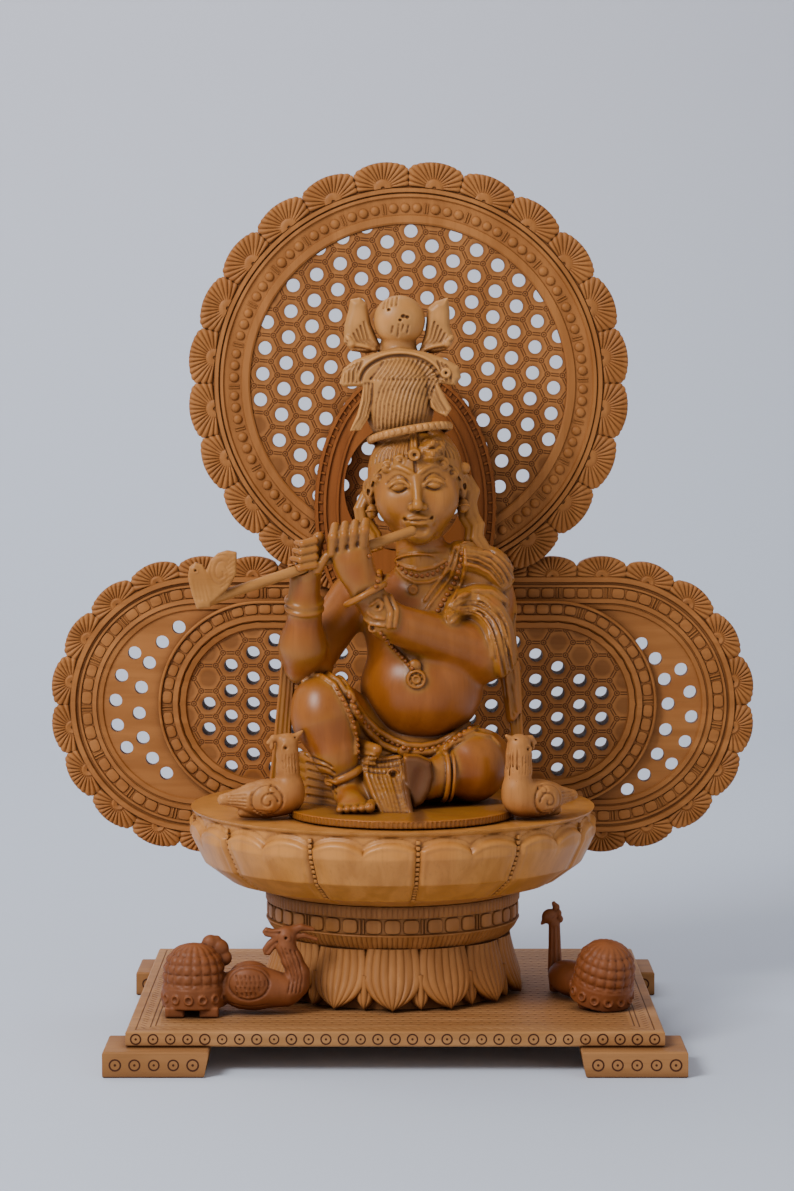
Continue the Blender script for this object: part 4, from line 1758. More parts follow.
def build_body():
    """Torso, arms and shawl of the figure, with beads along the necklaces."""
    size = bpy.context.scene.carving_sizes
    finishes = bpy.context.scene.wood_finishes
    c = Carving((-46, -45, 21), (44, 14, 103), size.figure_step / MM)
    carve_torso(c)
    carve_upper_arms(c)
    strip = [(31, 73), (38.2, 72), (40.8, 40), (42, 22), (37.6, 22), (36.0, 45)]
    c.board(strip, -3, 2.5, 1.2)
    dress_torso(c)
    carve_left_arm(c)
    carve_right_arm(c)
    for top, low in (((37.0, 68), (39.2, 24)), ((38.3, 66), (40.4, 24)), ((35.6, 60), (38.2, 24))):
        c.strand([(top[0], -3.2, top[1]), (low[0], -3.2, low[1])], 0.6, 0.2, True)
    c.limb(FLUTE_MOUTH, FLUTE_END, 1.9, 2.05, 0.2, cut=True)
    wood = wood_finish("figure_wood", finishes.figure, 0.38, polish=finishes.polish,
                       worked=finishes.cloth)
    found = [bead_places(c, NECKLACE_ROW, 1.75, 0.15), bead_places(c, GARLAND_ROW, 2.1, 0.2),
             bead_places(c, CHAIN, 1.5, 0.4), bead_places(c, CHEST_LOCKS[0], 1.9, 0.5)]
    mesh = thinned(c.surface("figure_body", (0, 0, FIGURE_BASE)), MOST_FACES)
    finished("figure_body", mesh, wood, "figure_wood", "krishna_figure")
    set_beads("torso_beads", found, (0.82, 1.0, 0.72, 0.8), wood)


def build_legs():
    """Legs, waistcloth and mat of the figure, with beads along the belt."""
    size = bpy.context.scene.carving_sizes
    finishes = bpy.context.scene.wood_finishes
    c = Carving((-49, -66, -1), (46, 13, 57), size.figure_step / MM)
    carve_legs(c)
    c.ball((6.6, -9, 41.5), (20.9, 18.2, 18.2), 1)
    left = [(-46.5, 2), (-40.2, 2), (-36, 56), (-41, 56)]
    c.board(left, -17.5, -13, 0.8)
    for top, low in (((-39.9, 55), (-44.6, 4)), ((-38.4, 55), (-42.8, 4)), ((-37.2, 55), (-41.2, 4))):
        c.strand([(top[0], -17.7, top[1]), (low[0], -17.7, low[1])], 0.5, 0.2, True)
    carve_waist(c)
    carve_mat(c)
    c.trim(0)
    wood = wood_finish("legs_wood", finishes.figure, 0.38, sole_stain, polish=finishes.polish,
                       worked=finishes.cloth)
    found = [bead_places(c, BELT_ROW, 2.0, 0.1),
             bead_places(c, [(x + 0.9, z - 1.5) for x, z in KNEE_BANDS[0][3:]], 2.0, 0.2)]
    mesh = thinned(c.surface("figure_legs", (0, 0, FIGURE_BASE)), MOST_FACES)
    finished("figure_legs", mesh, wood, "figure_wood", "krishna_figure")
    set_beads("belt_beads", found, (0.95, 0.75), wood)


def sole_stain(tree):
    """Dark stain over the upturned sole."""
    x, y, z = place_values(tree)
    across, up = (x - 5.2) / 6.2, (z - (FIGURE_BASE + 12.4)) / 11.0
    return across.hypot(up).step(1.06, 0.86) * y.step(-33.4, -34.6) * 0.95


def build_head():
    """Head with its hair, ears and forehead jewel."""
    size = bpy.context.scene.carving_sizes
    finishes = bpy.context.scene.wood_finishes
    c = Carving((-22, -31, 86), (36, 12, 134), size.head_step / MM)
    tilt = -3.6
    turn = math.radians(3.6)

    def h(x, y, z):
        """A place on the head, from its middle, in the figure's frame."""
        return np.array((4.6 + x * math.cos(turn) - z * math.sin(turn), y - 7,
                         111 + z * math.cos(turn) + x * math.sin(turn)))

    def face(marks, radius, cut=False, soft=0.3, lift=0.0, end=None):
        """A line on the face, from its middle, seen straight from the front."""
        line = [(p[0], p[2]) for p in (h(x, 0, z) for x, z in marks)]
        return c.draw(line, radius, soft, cut, lift, end, straight=True)

    c.limb((6.2, -4, 84), (5, -6, 96), 8.4, 7.8, 1)
    c.ball(h(0, 0, 3), (15.4, 15.2, 17.3), 1, tilt=tilt)
    c.ball(h(0, -3.0, -6.0), (12.9, 12.2, 13.0), 4, tilt=tilt)
    c.ball(h(0, -11.0, -15.8), (4.8, 4.2, 3.9), 4)
    for side in (-1, 1):
        c.ball(h(side * 7.6, -8.6, -5.4), (5.8, 5.6, 6.2), 4)
        c.ball(h(side * 6.2, -18.2, 0.2), (4.4, 3.4, 3.1), 2.2, cut=True, tilt=tilt + side * 4)
        c.ball(h(side * 6.1, -12.2, 0.1), (3.7, 3.6, 2.2), 0.3, tilt=tilt + side * 4)
    c.limb(h(0, -14.4, 3.6), h(0, -17.6, -5.6), 0.95, 1.45, 2.2)
    c.ball(h(0, -18.0, -6.6), (1.8, 1.8, 1.7), 1)
    across = np.linspace(0, 1, 11)
    for side in (-1, 1):
        c.ball(h(side * 1.9, -16.0, -7.2), (1.35, 1.5, 1.25), 0.8)
        c.ball(h(side * 1.0, -17.4, -8.4), (0.5, 0.8, 0.45), 0.3, cut=True)
        lid = [(side * (2.6 + 7.0 * t), 0.1 + 1.9 * math.sin(math.pi * t**0.85)) for t in across]
        low = [(side * (2.6 + 7.0 * t), 0.0 - 1.7 * math.sin(math.pi * t)) for t in across]
        fold = [(side * (2.6 + 7.6 * t), 1.3 + 2.6 * math.sin(math.pi * t**0.85)) for t in across]
        brow = [(side * (1.6 + 10.4 * t), 3.6 + 3.2 * math.sin(math.pi * (t * 0.78 + 0.1)))
                for t in across]
        face(lid, 0.7, False, 0.6, 0.2, 0.3)
        face([(x, z - 0.85) for x, z in lid[1:-1]], 0.3, True, 0.15)
        face(low[1:-1], 0.28, True, 0.3)
        face(fold, 0.26, True, 0.3)
        face(brow, 0.55, False, 0.8, 0.0, 0.25)
    face([(0, -8.8), (0, -10.2)], 0.6, True, 0.9)
    c.ball(h(0, -13.6, -11.8), (5.2, 2.2, 2.8), 2.0, tilt=tilt)
    for side in (-1, 1):
        c.ball(h(side * 1.5, -15.3, -10.9), (2.2, 0.9, 0.75), 0.7, tilt=tilt + side * 10)
        c.ball(h(side * 4.7, -14.6, -11.0), (0.6, 0.9, 0.6), 0.6, cut=True)
    c.ball(h(0, -15.2, -12.7), (2.7, 1.0, 0.95), 0.7, tilt=tilt)
    face([(-4.6, -11.1), (-2.4, -11.75), (-0.8, -11.6), (0, -11.85), (0.8, -11.6), (2.4, -11.75),
          (4.6, -11.1)], 0.28, True, 0.25)
    face([(-2.2, -14.9), (0, -15.4), (2.2, -14.9)], 0.7, True, 1.6, 0.5)

    cells, (x, y, z) = c.window([-20, -31, 100], [32, 12, 134])
    ex, ez = x - 4.6, z - 111
    hx = ex * math.cos(turn) + ez * math.sin(turn)
    hz = ez * math.cos(turn) - ex * math.sin(turn)
    hair = np.sqrt((hx / 16.5) ** 2 + ((y + 6.2) / 16.4) ** 2 + ((hz - 3.2) / 18.3) ** 2)
    reach = np.abs(hx)
    line = 9.6 - (reach / 14) ** 3 * 7 + 1.1 * np.abs(np.sin(hx * math.pi / 5.2))
    line = line - np.clip((y + 10) * 1.2, 0, 30)
    c.blend(cells, np.maximum((hair - 1) * 15.9, (line - hz) * 0.9), 0.25)
    for side in (-1, 1):
        for k in range(10):
            out = 2.0 + 1.45 * k
            arc = [(side * (0.5 + (out - 0.5) * math.sin(t * math.pi / 2) ** 0.8),
                    19.5 - (9.9 - 0.3 * k + 0.02 * out**2) * t) for t in np.linspace(0.1, 1, 8)]
            face(arc, 0.42, True, 0.15)
        for x, z, r in ((5.0, 8.6, 2.3), (9.2, 7.0, 2.4), (12.6, 3.4, 2.2)):
            knob = face([(side * x, z), (side * x, z + 0.1)], 0.5, False, 0.3)
            if len(knob):
                c.ball(knob[0] + (0, 0.6, 0), (r, 1.5, r), 0.6)
                curl = [(side * (x + (r - 0.5 - 0.22 * n) * math.cos(0.75 * n)),
                         z + (r - 0.5 - 0.22 * n) * math.sin(0.75 * n)) for n in range(8)]
                face(curl, 0.34, True, 0.2)
    face([(0, 20), (0, 12)], 1.3, False, 0.3, 0.2)
    for x in (-1.3, 0, 1.3):
        face([(x, 20), (x, 13)], 0.36, True, 0.15)
    jewel = face([(0, 10.6), (0, 10.7)], 2.3, False, 0.2)[0]
    c.ring(jewel + (0, -1.9, 0), (0, 1, 0), 1.6, 0.45, 0.15)
    c.ball(jewel + (0, -2.2, 0), (0.7, 1.1, 0.7), 0.1, cut=True)
    face([(0, 8.4), (0, 4.8)], 0.6, True, 0.2)
    for petal in ([(1.8, 12.4), (4.2, 15.8), (8.4, 16.4), (10.6, 13.6), (7.6, 11.6)],
                  [(2.2, 12.0), (7.6, 11.8), (10.4, 13.0), (9.4, 9.4), (5.4, 8.0), (2.4, 9.0)]):
        middle = np.mean(petal, 0)
        for share in (0.85, 0.6, 0.35, 0.1):
            ring = [tuple(middle + share * (np.array(point) - middle)) for point in petal]
            face([*ring, ring[0]], 0.75, False, 0.6, 0.1)
        for share in (0.8, 0.5, 0.2, -0.1, -0.4):
            bow = [tuple(middle + np.array((u - middle[0], share * (2.6 - abs(u - middle[0]) * 0.5))))
                   for u in np.linspace(petal[0][0] + 0.8, 9.4, 8)]
            face(bow, 0.28, True, 0.2)
    for side in (-1, 1):
        c.ball(h(side * 15.6, 0.5, -1.5), (2.0, 3.2, 5.6), 0.5)
        c.ring(h(side * 16.4, -1.0, -0.2), (1, -side * 0.6, 0), 2.7, 0.7, 0.2)
        c.ball(h(side * 16.4, -1.6, -1.6), (0.9, 1.2, 1.2), 0.2, cut=True)
        c.ball(h(side * 15.6, -2.2, -8.2), (2.0, 2.0, 2.5), 0.3)
        c.ring(h(side * 15.7, -2.6, -8.2), (0, 0.3, 1), 2.0, 0.35, 0.1)
    c.ball(h(16.6, -2, 4.6), (2.3, 2.3, 2.1), 0.4)
    lock = [(-11.5, -5, 108), (-13.9, -6, 103), (-13.2, -6.5, 98), (-10.2, -7, 93.5), (-9.4, -8, 89)]
    tress = [(20.4, -5, 112), (22.8, -5, 108), (21.8, -5.5, 104), (22.6, -6, 100),
             (24.6, -7, 96.5), (24.2, -8, 92.5), (27, -8, 88), (30, -7, 85)]
    for line, shifts, thick in ((lock, (-1.6, 0, 1.6), 1.5), (tress, (-1.7, 0.2, 2.0), 1.8)):
        for shift in shifts:
            c.strand([(x + shift, y + 0.5 * abs(shift), z + 0.3 * shift) for x, y, z in line], thick,
                     0.3, end=thick * 0.8)
    wood = wood_finish("head_wood", finishes.head, 0.4, polish=finishes.polish,
                       worked=tuple(1.1 * value for value in finishes.cloth))
    mesh = thinned(c.surface("figure_head", (0, 0, FIGURE_BASE), 0.9), MOST_FACES)
    finished("figure_head", mesh, wood, "figure_wood", "krishna_figure")


def build_crown():
    """Turban crown with a bud, fluted lobes, brim and hanging cloth ends."""
    size = bpy.context.scene.carving_sizes
    finishes = bpy.context.scene.wood_finishes
    c = Carving((-25, -23, 122), (23, 6, 178), size.head_step / MM)
    c.ball((-1.2, -8, 139.5), (12.2, 12.6, 15.5), 1)
    brim = [(-21.6, 145.6), (-20.4, 150.4), (-16.6, 153.6), (-9.5, 156.0), (-1.1, 157.8),
            (7.2, 156.4), (14.5, 154.0), (19, 151.5), (19.8, 147.6), (17.7, 144.9), (13.0, 145.6),
            (6.9, 144.9), (-8.8, 144.9), (-14.4, 144.6), (-19.9, 144.4)]
    c.board(brim, -16.6, -1.5, 2.0, 0.8)
    c.ball((-1.2, -12.5, 145.5), (11.2, 7.8, 10.2), 0.3)
    left = [(-13.3, 146), (-9.5, 146), (-10.2, 139.9), (-11.6, 134), (-14.3, 129.7),
            (-18.1, 129.4), (-15.6, 135.1), (-14.3, 140)]
    right = [(6.6, 146), (11.9, 146), (16.6, 137), (14.7, 134.2), (11.0, 136), (9.4, 137.5),
             (8.8, 141.6)]
    c.board(left, -16.6, -10.5, 1.2, 0.4)
    c.board(right, -16.6, -10.5, 1.2, 0.4)
    for shift in (0.7, 1.8, 2.9):
        c.draw([(-13.3 + shift, 145.5), (-13.6 + shift, 139.5), (-15 + shift, 134),
                (-17.6 + shift, 130)], 0.45, 0.2, straight=True)
        c.draw([(7.4 + shift, 145), (9.4 + shift, 140), (11.8 + shift, 136)], 0.45, 0.2,
               straight=True)
    lobes = ([(-17.9, 174.3), (-14.6, 174.9), (-12.3, 172.9), (-10.9, 165.9), (-8.2, 159.6),
              (-7.4, 157.0), (-12, 155.8), (-17.6, 156.6), (-20.2, 159.8), (-20.0, 165.5),
              (-18.6, 170.4)],
             [(8.3, 171.1), (11.2, 173.6), (15.4, 174.9), (16.0, 170), (16.0, 165.2), (17.6, 160.6),
              (15.2, 157.0), (10.4, 155.8), (5.6, 156.8), (7.4, 162.0), (8.0, 166.5)])
    for side, outline in zip((-1, 1), lobes, strict=True):
        c.board(outline, -11.0, -3.5, 2.6, 0.3)
        for k in range(7):
            foot = -1.2 + side * (7.2 + 1.15 * k)
            middle = -1.2 + side * (10.6 + 1.2 * k)
            c.draw([(foot, 157.4), (middle, 160.6 - 0.25 * k), (middle + side * 1.4, 166.5 - 1.3 * k)],
                   0.4, 0.2, straight=True)
        c.draw([(-1.2 + side * 17.8, 161.5), (-1.2 + side * 15.4, 159.0), (-1.2 + side * 11.5, 158.2),
                (-1.2 + side * 8, 156.8)], 0.75, 0.2, False, straight=True)
        c.ball((-1.2 + side * 16.2, -10.2, 159.2), (1.5, 1.5, 1.5), 0.2)
    c.ball((-1.2, -9.5, 167.0), (8.8, 6.4, 8.6), 0.2)
    c.limb((-1.5, -7, 152), (-1.5, -7, 164), 7, 5.5, 1)
    for x, z, r in ((0.2, 168.4, 0.9), (1.5, 168.1, 0.7), (-0.9, 167.1, 0.6), (-4.8, 170.6, 0.6)):
        point = c.seen([(x, z), (x, z + 0.1)], straight=True)[0]
        c.ball(point, (r, 1.1, r * 0.8), 0.15, True)
    for x, low, high in ((-1.3, 161.4, 165.5), (0.2, 163.4, 165.4), (-3.4, 162.6, 165.0),
                         (2.0, 162.8, 165.2), (-6.2, 171, 173.4), (-4.9, 171.4, 174.2),
                         (-3.4, 171.8, 174.6), (-1.8, 172.0, 174.9)):
        c.draw([(x, high), (x - 0.5, low)], 0.36, 0.15, straight=True)
    arc = [(-13.4 * math.cos(a) - 0.9, 146.0 + 9.0 * math.sin(a)) for a in np.linspace(0.06, 3.08, 30)]
    c.draw(arc, 0.6, 0.2, True, straight=True)
    c.draw([(x * 1.1 + 0.1, 146 + (z - 146) * 1.13) for x, z in arc], 0.5, 0.2, False, straight=True)
    for k in range(15):
        a = -11.0 + 1.5 * k
        top = 146 + 8.0 * math.sqrt(max(0.02, 1 - ((a + 3.4 + 0.9) / 13.4) ** 2))
        c.draw([(a + 4.4, top), (a + 1.8, 149.4 - 0.1 * k), (a, 147)], 0.4, 0.15, straight=True)
    for k in range(13):
        a = -9.4 + 1.5 * k
        c.draw([(a + 3.4, 147.0), (a + 1.5, 143.5), (a + 0.2, 139), (a * 0.95 - 0.6, 133),
                (a * 0.9 - 0.8, 130)], 0.38, 0.15, straight=True)
    for side, lines in ((-1, 5), (1, 3)):
        for k in range(lines):
            x = -1 + side * (14.0 + 1.4 * k)
            c.draw([(x - side * 1.2, 153.2 - 0.7 * k), (x + side * 0.3, 149.6),
                    (x + side * 0.5, 146)], 0.42, 0.15, straight=True)
    knob = c.seen([(14.6, 149.2), (14.6, 149.3)], straight=True)[0]
    c.ball(knob, (2.0, 1.2, 2.0), 0.2)
    c.ring(knob + (0, -0.9, 0), (0, 1, 0), 1.3, 0.45, 0.1)
    c.ball(knob + (0, -1.0, 0), (0.5, 0.9, 0.5), 0.1, True)
    for x, z in ((-10.6, 129.6), (9.6, 131.6)):
        c.ball((x, -17, z), (1.9, 3.0, 1.7), 0.4, True)
    c.ring((2.4, -8, 128.6), (-0.18, 0.12, 1), 13.4, 1.1, 0.3, 1.3)
    wood = wood_finish("crown_wood", finishes.crown, 0.45, polish=finishes.polish * 0.6,
                       worked=tuple(0.8 * value for value in finishes.crown))
    mesh = thinned(c.surface("figure_crown", (0, 0, FIGURE_BASE), 0.9), MOST_FACES)
    finished("figure_crown", mesh, wood, "figure_wood", "krishna_figure")
    angle = np.arange(38) * TAU / 38
    axis = np.array((-0.18, 0.12, 1)) / np.linalg.norm((-0.18, 0.12, 1))
    side = np.cross(axis, (0, 1, 0))
    side /= np.linalg.norm(side)
    ahead = np.cross(side, axis)
    out = np.cos(angle)[:, None] * side + np.sin(angle)[:, None] * ahead
    places = np.array((2.4, -8, 128.6)) + out * 14.2
    set_beads("crown_beads", [(places, out)], (1.3,), wood)


def build_flute():
    """Flute with a bird's head and a leaf at its far end."""
    finishes = bpy.context.scene.wood_finishes
    ex, ey, ez = FLUTE_END
    c = Carving((-82, -52, 66), (6, -22, 104), 0.36)
    c.limb(FLUTE_MOUTH, FLUTE_END, 1.7, 1.85, 0.2)
    c.board([(ex + x, ez + z) for x, z in
             [(0, -1), (4, 0.5), (9, 5), (11.6, 9.5), (11.8, 17.0), (8.5, 17.6), (5.4, 16.6), (3, 14.2),
              (1.2, 10)]], ey - 1.4, ey + 1.4, 0.9, 0.4)
    c.board([(ex + x, ez + z) for x, z in
             [(-4.5, 8.5), (-4.0, 12.0), (-2, 13.6), (0.6, 12.6), (2.4, 9.5), (4, 4), (3, -1.4),
              (-1.5, -2), (-3.2, 3)]], ey - 1.6, ey + 1.6, 1.0, 0.4)
    for turnings in (0.0, 1.5):
        spiral = [(ex + 6.6 + (4.6 - turnings - 0.42 * a) * math.cos(a + 0.6),
                   ez + 10.2 + (6.4 - turnings * 1.3 - 0.62 * a) * math.sin(a + 0.6))
                  for a in np.linspace(0, 6.4, 26)]
        c.strand([(x, ey - 1.5, z) for x, z in spiral], 0.32, 0.15, True)
    for k in range(6):
        top = (ex + 11.2, ey - 1.5, ez + 16 - 1.5 * k)
        foot = (ex + 8.4 - 0.4 * k, ey - 1.5, ez + 13.6 - 1.7 * k)
        c.strand([top, foot], 0.3, 0.1, True)
    eye = (ex - 1.9, ey - 1.6, ez + 10.9)
    c.ring(eye, (0, 1, 0), 0.85, 0.3, 0.1)
    c.ball(eye, (0.42, 0.8, 0.42), 0.1, True)
    for k in range(4):
        top = (ex - 2.4 + 1.3 * k, ey - 1.7, ez + 7.5 - 0.5 * k)
        foot = (ex - 1.2 + 1.3 * k, ey - 1.7, ez + 1.0)
        c.strand([top, foot], 0.3, 0.1, True)
    wood = wood_finish("flute_wood", finishes.flute, 0.45, grain=(1, 0, 0))
    mesh = thinned(c.surface("flute_carved", (0, 0, FIGURE_BASE), 0.8), 60000)
    finished("flute_carved", mesh, wood, "flute_wood", "flute")


def turned_about(mesh, place, degrees):
    """Turns a mesh about the upright axis and moves it to its place."""
    mesh.transform(Matrix.Translation(Vector(place) * MM) @ Matrix.Rotation(math.radians(degrees), 4, "Z"))
    return mesh


def carve_seat_bird(c, stout):
    """Small bird facing +X: long body, upright neck, crest behind the head, curled wings."""
    thick = 4.1 if stout else 3.5
    c.ball((1.0, 0, 6.6), (10.6, 6.6, 6.5), 1)
    c.ball((7.6, 0, 8.2), (5.6, 5.6, 6.8), 2)
    c.limb((-6, 0, 7), (-14.6, 0, 6.6), 4.2, 1.9, 2)
    c.limb((-8, 0, 2.0), (0, 0, 1.6), 1.7, 2.2, 0.6)
    c.strand([(8.2, 0, 11), (7.4, 0, 16.5), (7.3, 0, 21.5), (7.4, 0, 24.6)], thick + 0.4, 1.5,
             end=thick - 0.2)
    c.ball((7.2, 0, 25.4), (3.5, thick - 0.5, 3.0), 1)
    c.limb((8.6, 0, 25.8), (12.4, 0, 29.0 if not stout else 28.4), 2.0, 0.5, 0.8)
    c.strand([(5.6, 0, 26.6), (2.6, 0, 26.8), (0.8, 0, 25.4)], 1.6, 0.5, end=0.7)
    c.ball((2.0, 0, 24.6), (0.8, 1.2, 1.8), 0.4)
    for side in (-1, 1):
        c.ring((6.2, side * (thick - 0.4), 23.8), (0, 1, 0), 1.25, 0.4, 0.15)
        c.ball((6.2, side * (thick - 0.1), 23.8), (0.5, 1.1, 0.5), 0.1, True)
        c.ball((9.6, side * 1.6, 27.0), (0.45, 0.8, 0.3), 0.1, True)
        c.ball((-0.6, side * 3.6, 6.7), (5.9, 3.6, 5.6), 0.2)
        wing = [(-0.6 + 5.4 * math.cos(a), 6.7 + 5.1 * math.sin(a)) for a in np.linspace(0, TAU, 30)]
        curl = [(-0.4 + (3.4 - 0.42 * a) * math.cos(a), 6.2 + (3.4 - 0.42 * a) * math.sin(a))
                for a in np.linspace(0, 6.6, 24)]
        loop = [(1.4 + 1.4 * math.cos(a), 10.2 + 1.3 * math.sin(a)) for a in np.linspace(0, 5, 12)]
        for line, radius in ((wing, 0.45), (curl, 0.4), (loop, 0.32)):
            points = side_points(c, line, side)
            c.strand(points, radius, 0.15, True)
        for k in range(4):
            c.strand(side_points(c, [(-5 + k, 3.4 - 0.7 * k), (1 + 0.6 * k, 2.8 - 0.75 * k)], side), 0.3,
                     0.1, True)
        for k in range(5):
            x = 5.2 + 1.05 * k
            c.strand(side_points(c, [(x, 21.5), (x + 0.1, 17.5), (x + 0.3, 15.5)], side), 0.26, 0.1, True)
        for k in range(4):
            c.strand(side_points(c, [(-7.6, 8.4 - 1.3 * k), (-13.6, 7.9 - 0.9 * k)], side), 0.32, 0.1, True)
    if stout:
        for k in range(-3, 4):
            y = 1.05 * k
            reach = math.sqrt(max(0.2, thick**2 - y**2))
            c.strand([(7.4 + reach, y, 24), (7.5 + reach, y, 12)], 0.3, 0.1, True)
    c.trim(0)


def side_points(c, line, side):
    """Where a line of (x, z) marks meets the block when seen straight from one side."""
    line = np.asarray(line, float)
    lengths = np.hypot(*np.diff(line, axis=0).T)
    walk = np.concatenate([[0], np.cumsum(lengths)])
    even = np.linspace(0, walk[-1], max(2, int(walk[-1] / 0.5) + 1))
    x, z = (np.interp(even, walk, line[:, k]) for k in range(2))
    depth = np.arange(c.axes[1][-1], 0, -c.step / 2) * side
    lines = np.stack([np.broadcast_to(x[:, None], (len(x), len(depth))),
                      np.broadcast_to(depth, (len(x), len(depth))),
                      np.broadcast_to(z[:, None], (len(x), len(depth)))], -1)
    hit = c.sample(lines.reshape(-1, 3)).reshape(len(x), -1) < 0
    points = lines[np.arange(len(x)), hit.argmax(1)]
    return points[hit.any(1)]


def carve_tail(c, lean):
    """Domed tail of a board bird: cushions between holes, over a band of ring-dots."""
    centre, lift = -14.0, 2.6
    cells, (x, y, z) = c.window([-28, -13, -1], [0, 13, 28])
    tilt = math.radians(lean)
    dx, dz = x - centre, z - lift
    u, w = dx * math.cos(tilt) + dz * math.sin(tilt), dz * math.cos(tilt) - dx * math.sin(tilt)
    away = np.hypot(u, y * 1.03)
    angle = np.arctan2(y, u)
    level = np.clip((w - 6.8) / 14.2, 0, 1)
    girth = 10.5 * np.sqrt(np.maximum(1 - level**3.2, 0)) + 0.25 * (w < 6.6)
    rows, columns = (w - 6.8) / 3.15, angle * 9
    cushion = 0.8 * (np.abs(np.cos(rows * math.pi)) * np.abs(np.cos(columns))) ** 0.6
    bumps = np.where(w > 7.4, cushion - 0.6, 0)
    side = (away - girth - bumps) * 0.8
    solid = np.maximum(np.maximum(side, w - 21.0), -w)
    c.blend(cells, solid, 0.0)
    for row in range(4):
        height = 8.4 + 3.15 * row
        girth = 10.5 * math.sqrt(1 - ((height - 6.8) / 14.2) ** 3.2)
        for k in range(18):
            turn = (k + 0.5) * TAU / 18
            spot = np.array((girth * math.cos(turn), girth * math.sin(turn), height))
            c.ball((centre + spot[0] * math.cos(tilt) - spot[2] * math.sin(tilt), spot[1],
                    lift + spot[2] * math.cos(tilt) + spot[0] * math.sin(tilt)), (0.75, 0.75, 0.75),
                   0.15, True)
    for k in range(14):
        turn = (k + 0.25) * TAU / 14
        out = np.array((math.cos(turn), math.sin(turn), 0))
        spot = out * 10.7 + (0, 0, 3.4)
        place = (centre + spot[0] * math.cos(tilt) - spot[2] * math.sin(tilt), spot[1],
                 lift + spot[2] * math.cos(tilt) + spot[0] * math.sin(tilt))
        c.ring(place, out, 1.3, 0.38, 0.1)
        c.ball(place, (0.5, 0.5, 0.5), 0.1, True)
    if lean:
        c.limb((-16, -5, 0), (-14, -4, 5), 3.2, 4.2, 1)
        c.limb((-14, 5, 0), (-13, 4, 5), 3.2, 4.2, 1)
    else:
        for x, y in ((-20, -5), (-8.6, -5), (-15, 6)):
            c.board([(x - 3.2, -1), (x + 3.2, -1), (x + 3.2, 3.4), (x - 3.2, 3.4)], y - 3.6, y + 3.6, 0.8,
                    0.2)
        for x, z, r in ((-8.6, 22.8, 3.0), (-5.6, 21.2, 3.2), (-4.2, 18.0, 2.8), (-6.6, 23.8, 1.8)):
            c.ball((x, 3.0, z), (r, r * 0.8, r), 0.3)


def carve_long_bird(c):
    """Body, curved neck, crested head and open beak, facing +X."""
    c.ball((5.5, 0, 8.4), (11.5, 7.0, 7.6), 1)
    c.ball((15.5, 0, 7.6), (7.0, 5.6, 5.4), 3)
    c.strand([(17.0, 0, 6.5), (20.6, 0, 9.5), (21.0, 0, 13.2), (18.8, 0, 18.0), (16.8, 0, 22.4),
              (16.4, 0, 25.0)], 3.9, 1.5, end=2.9)
    c.ball((17.0, 0, 26.2), (3.6, 2.9, 3.2), 1)
    c.strand([(18.4, 0, 27.6), (22.0, 0, 28.9), (25.8, 0, 28.2)], 1.7, 0.4, end=0.7)
    c.strand([(19.0, 0, 25.6), (23.0, 0, 26.2), (27.0, 0, 24.8)], 1.2, 0.3, end=0.7)
    crest = [(15.5, 28.6), (12.4, 28.3), (10.0, 28.9), (8.8, 27.4), (9.8, 25.9), (12.2, 25.4),
             (10.4, 23.9), (8.9, 21.6), (9.6, 19.6), (11.4, 19.4), (13.2, 21.8), (14.6, 24.2)]
    c.board(crest, -1.6, 1.6, 0.9, 0.4)
    for side in (-1.7, 1.7):
        for line in ([(15, 27.2), (11.6, 27.0), (9.8, 27.4)], [(14, 24.2), (12.0, 22.6), (10.4, 20.6)]):
            c.strand([(x, side, z) for x, z in line], 0.4, 0.15, True)
    for side in (-1, 1):
        c.ring((16.9, side * 2.7, 25.6), (0, 1, 0), 1.2, 0.4, 0.1)
        c.ball((16.9, side * 2.9, 25.6), (0.5, 1.0, 0.5), 0.1, True)
        c.ball((4.6, side * 4.0, 10.8), (7.4, 3.6, 6.0), 0.15)
        wing = [(4.6 + 6.8 * math.cos(a), 10.8 + 5.4 * math.sin(a)) for a in np.linspace(0, TAU, 32)]
        c.strand(side_points(c, wing, side), 0.4, 0.15, True)
        for row in range(4):
            for k in range(7 - abs(row - 1)):
                x = 0.4 + 1.55 * k + 0.4 * (row % 2)
                z = 13.6 - 1.9 * row
                c.strand(side_points(c, [(x, z), (x + 0.25, z - 1.1)], side), 0.3, 0.1, True)
        for k in range(4):
            neck = [(15.2 + 1.6 * k, 22.5 - 0.4 * k), (17.0 + 1.5 * k, 17.5), (18.6 + 1.3 * k, 12.6),
                    (17.8 + 1.3 * k, 7.6)]
            c.strand(side_points(c, neck, side), 0.32, 0.1, True)
        for k in range(3):
            c.strand(side_points(c, [(-3, 4.2 - 1.2 * k), (4, 2.8 - 0.9 * k), (11, 3.6 - 1.0 * k)], side),
                     0.3, 0.1, True)


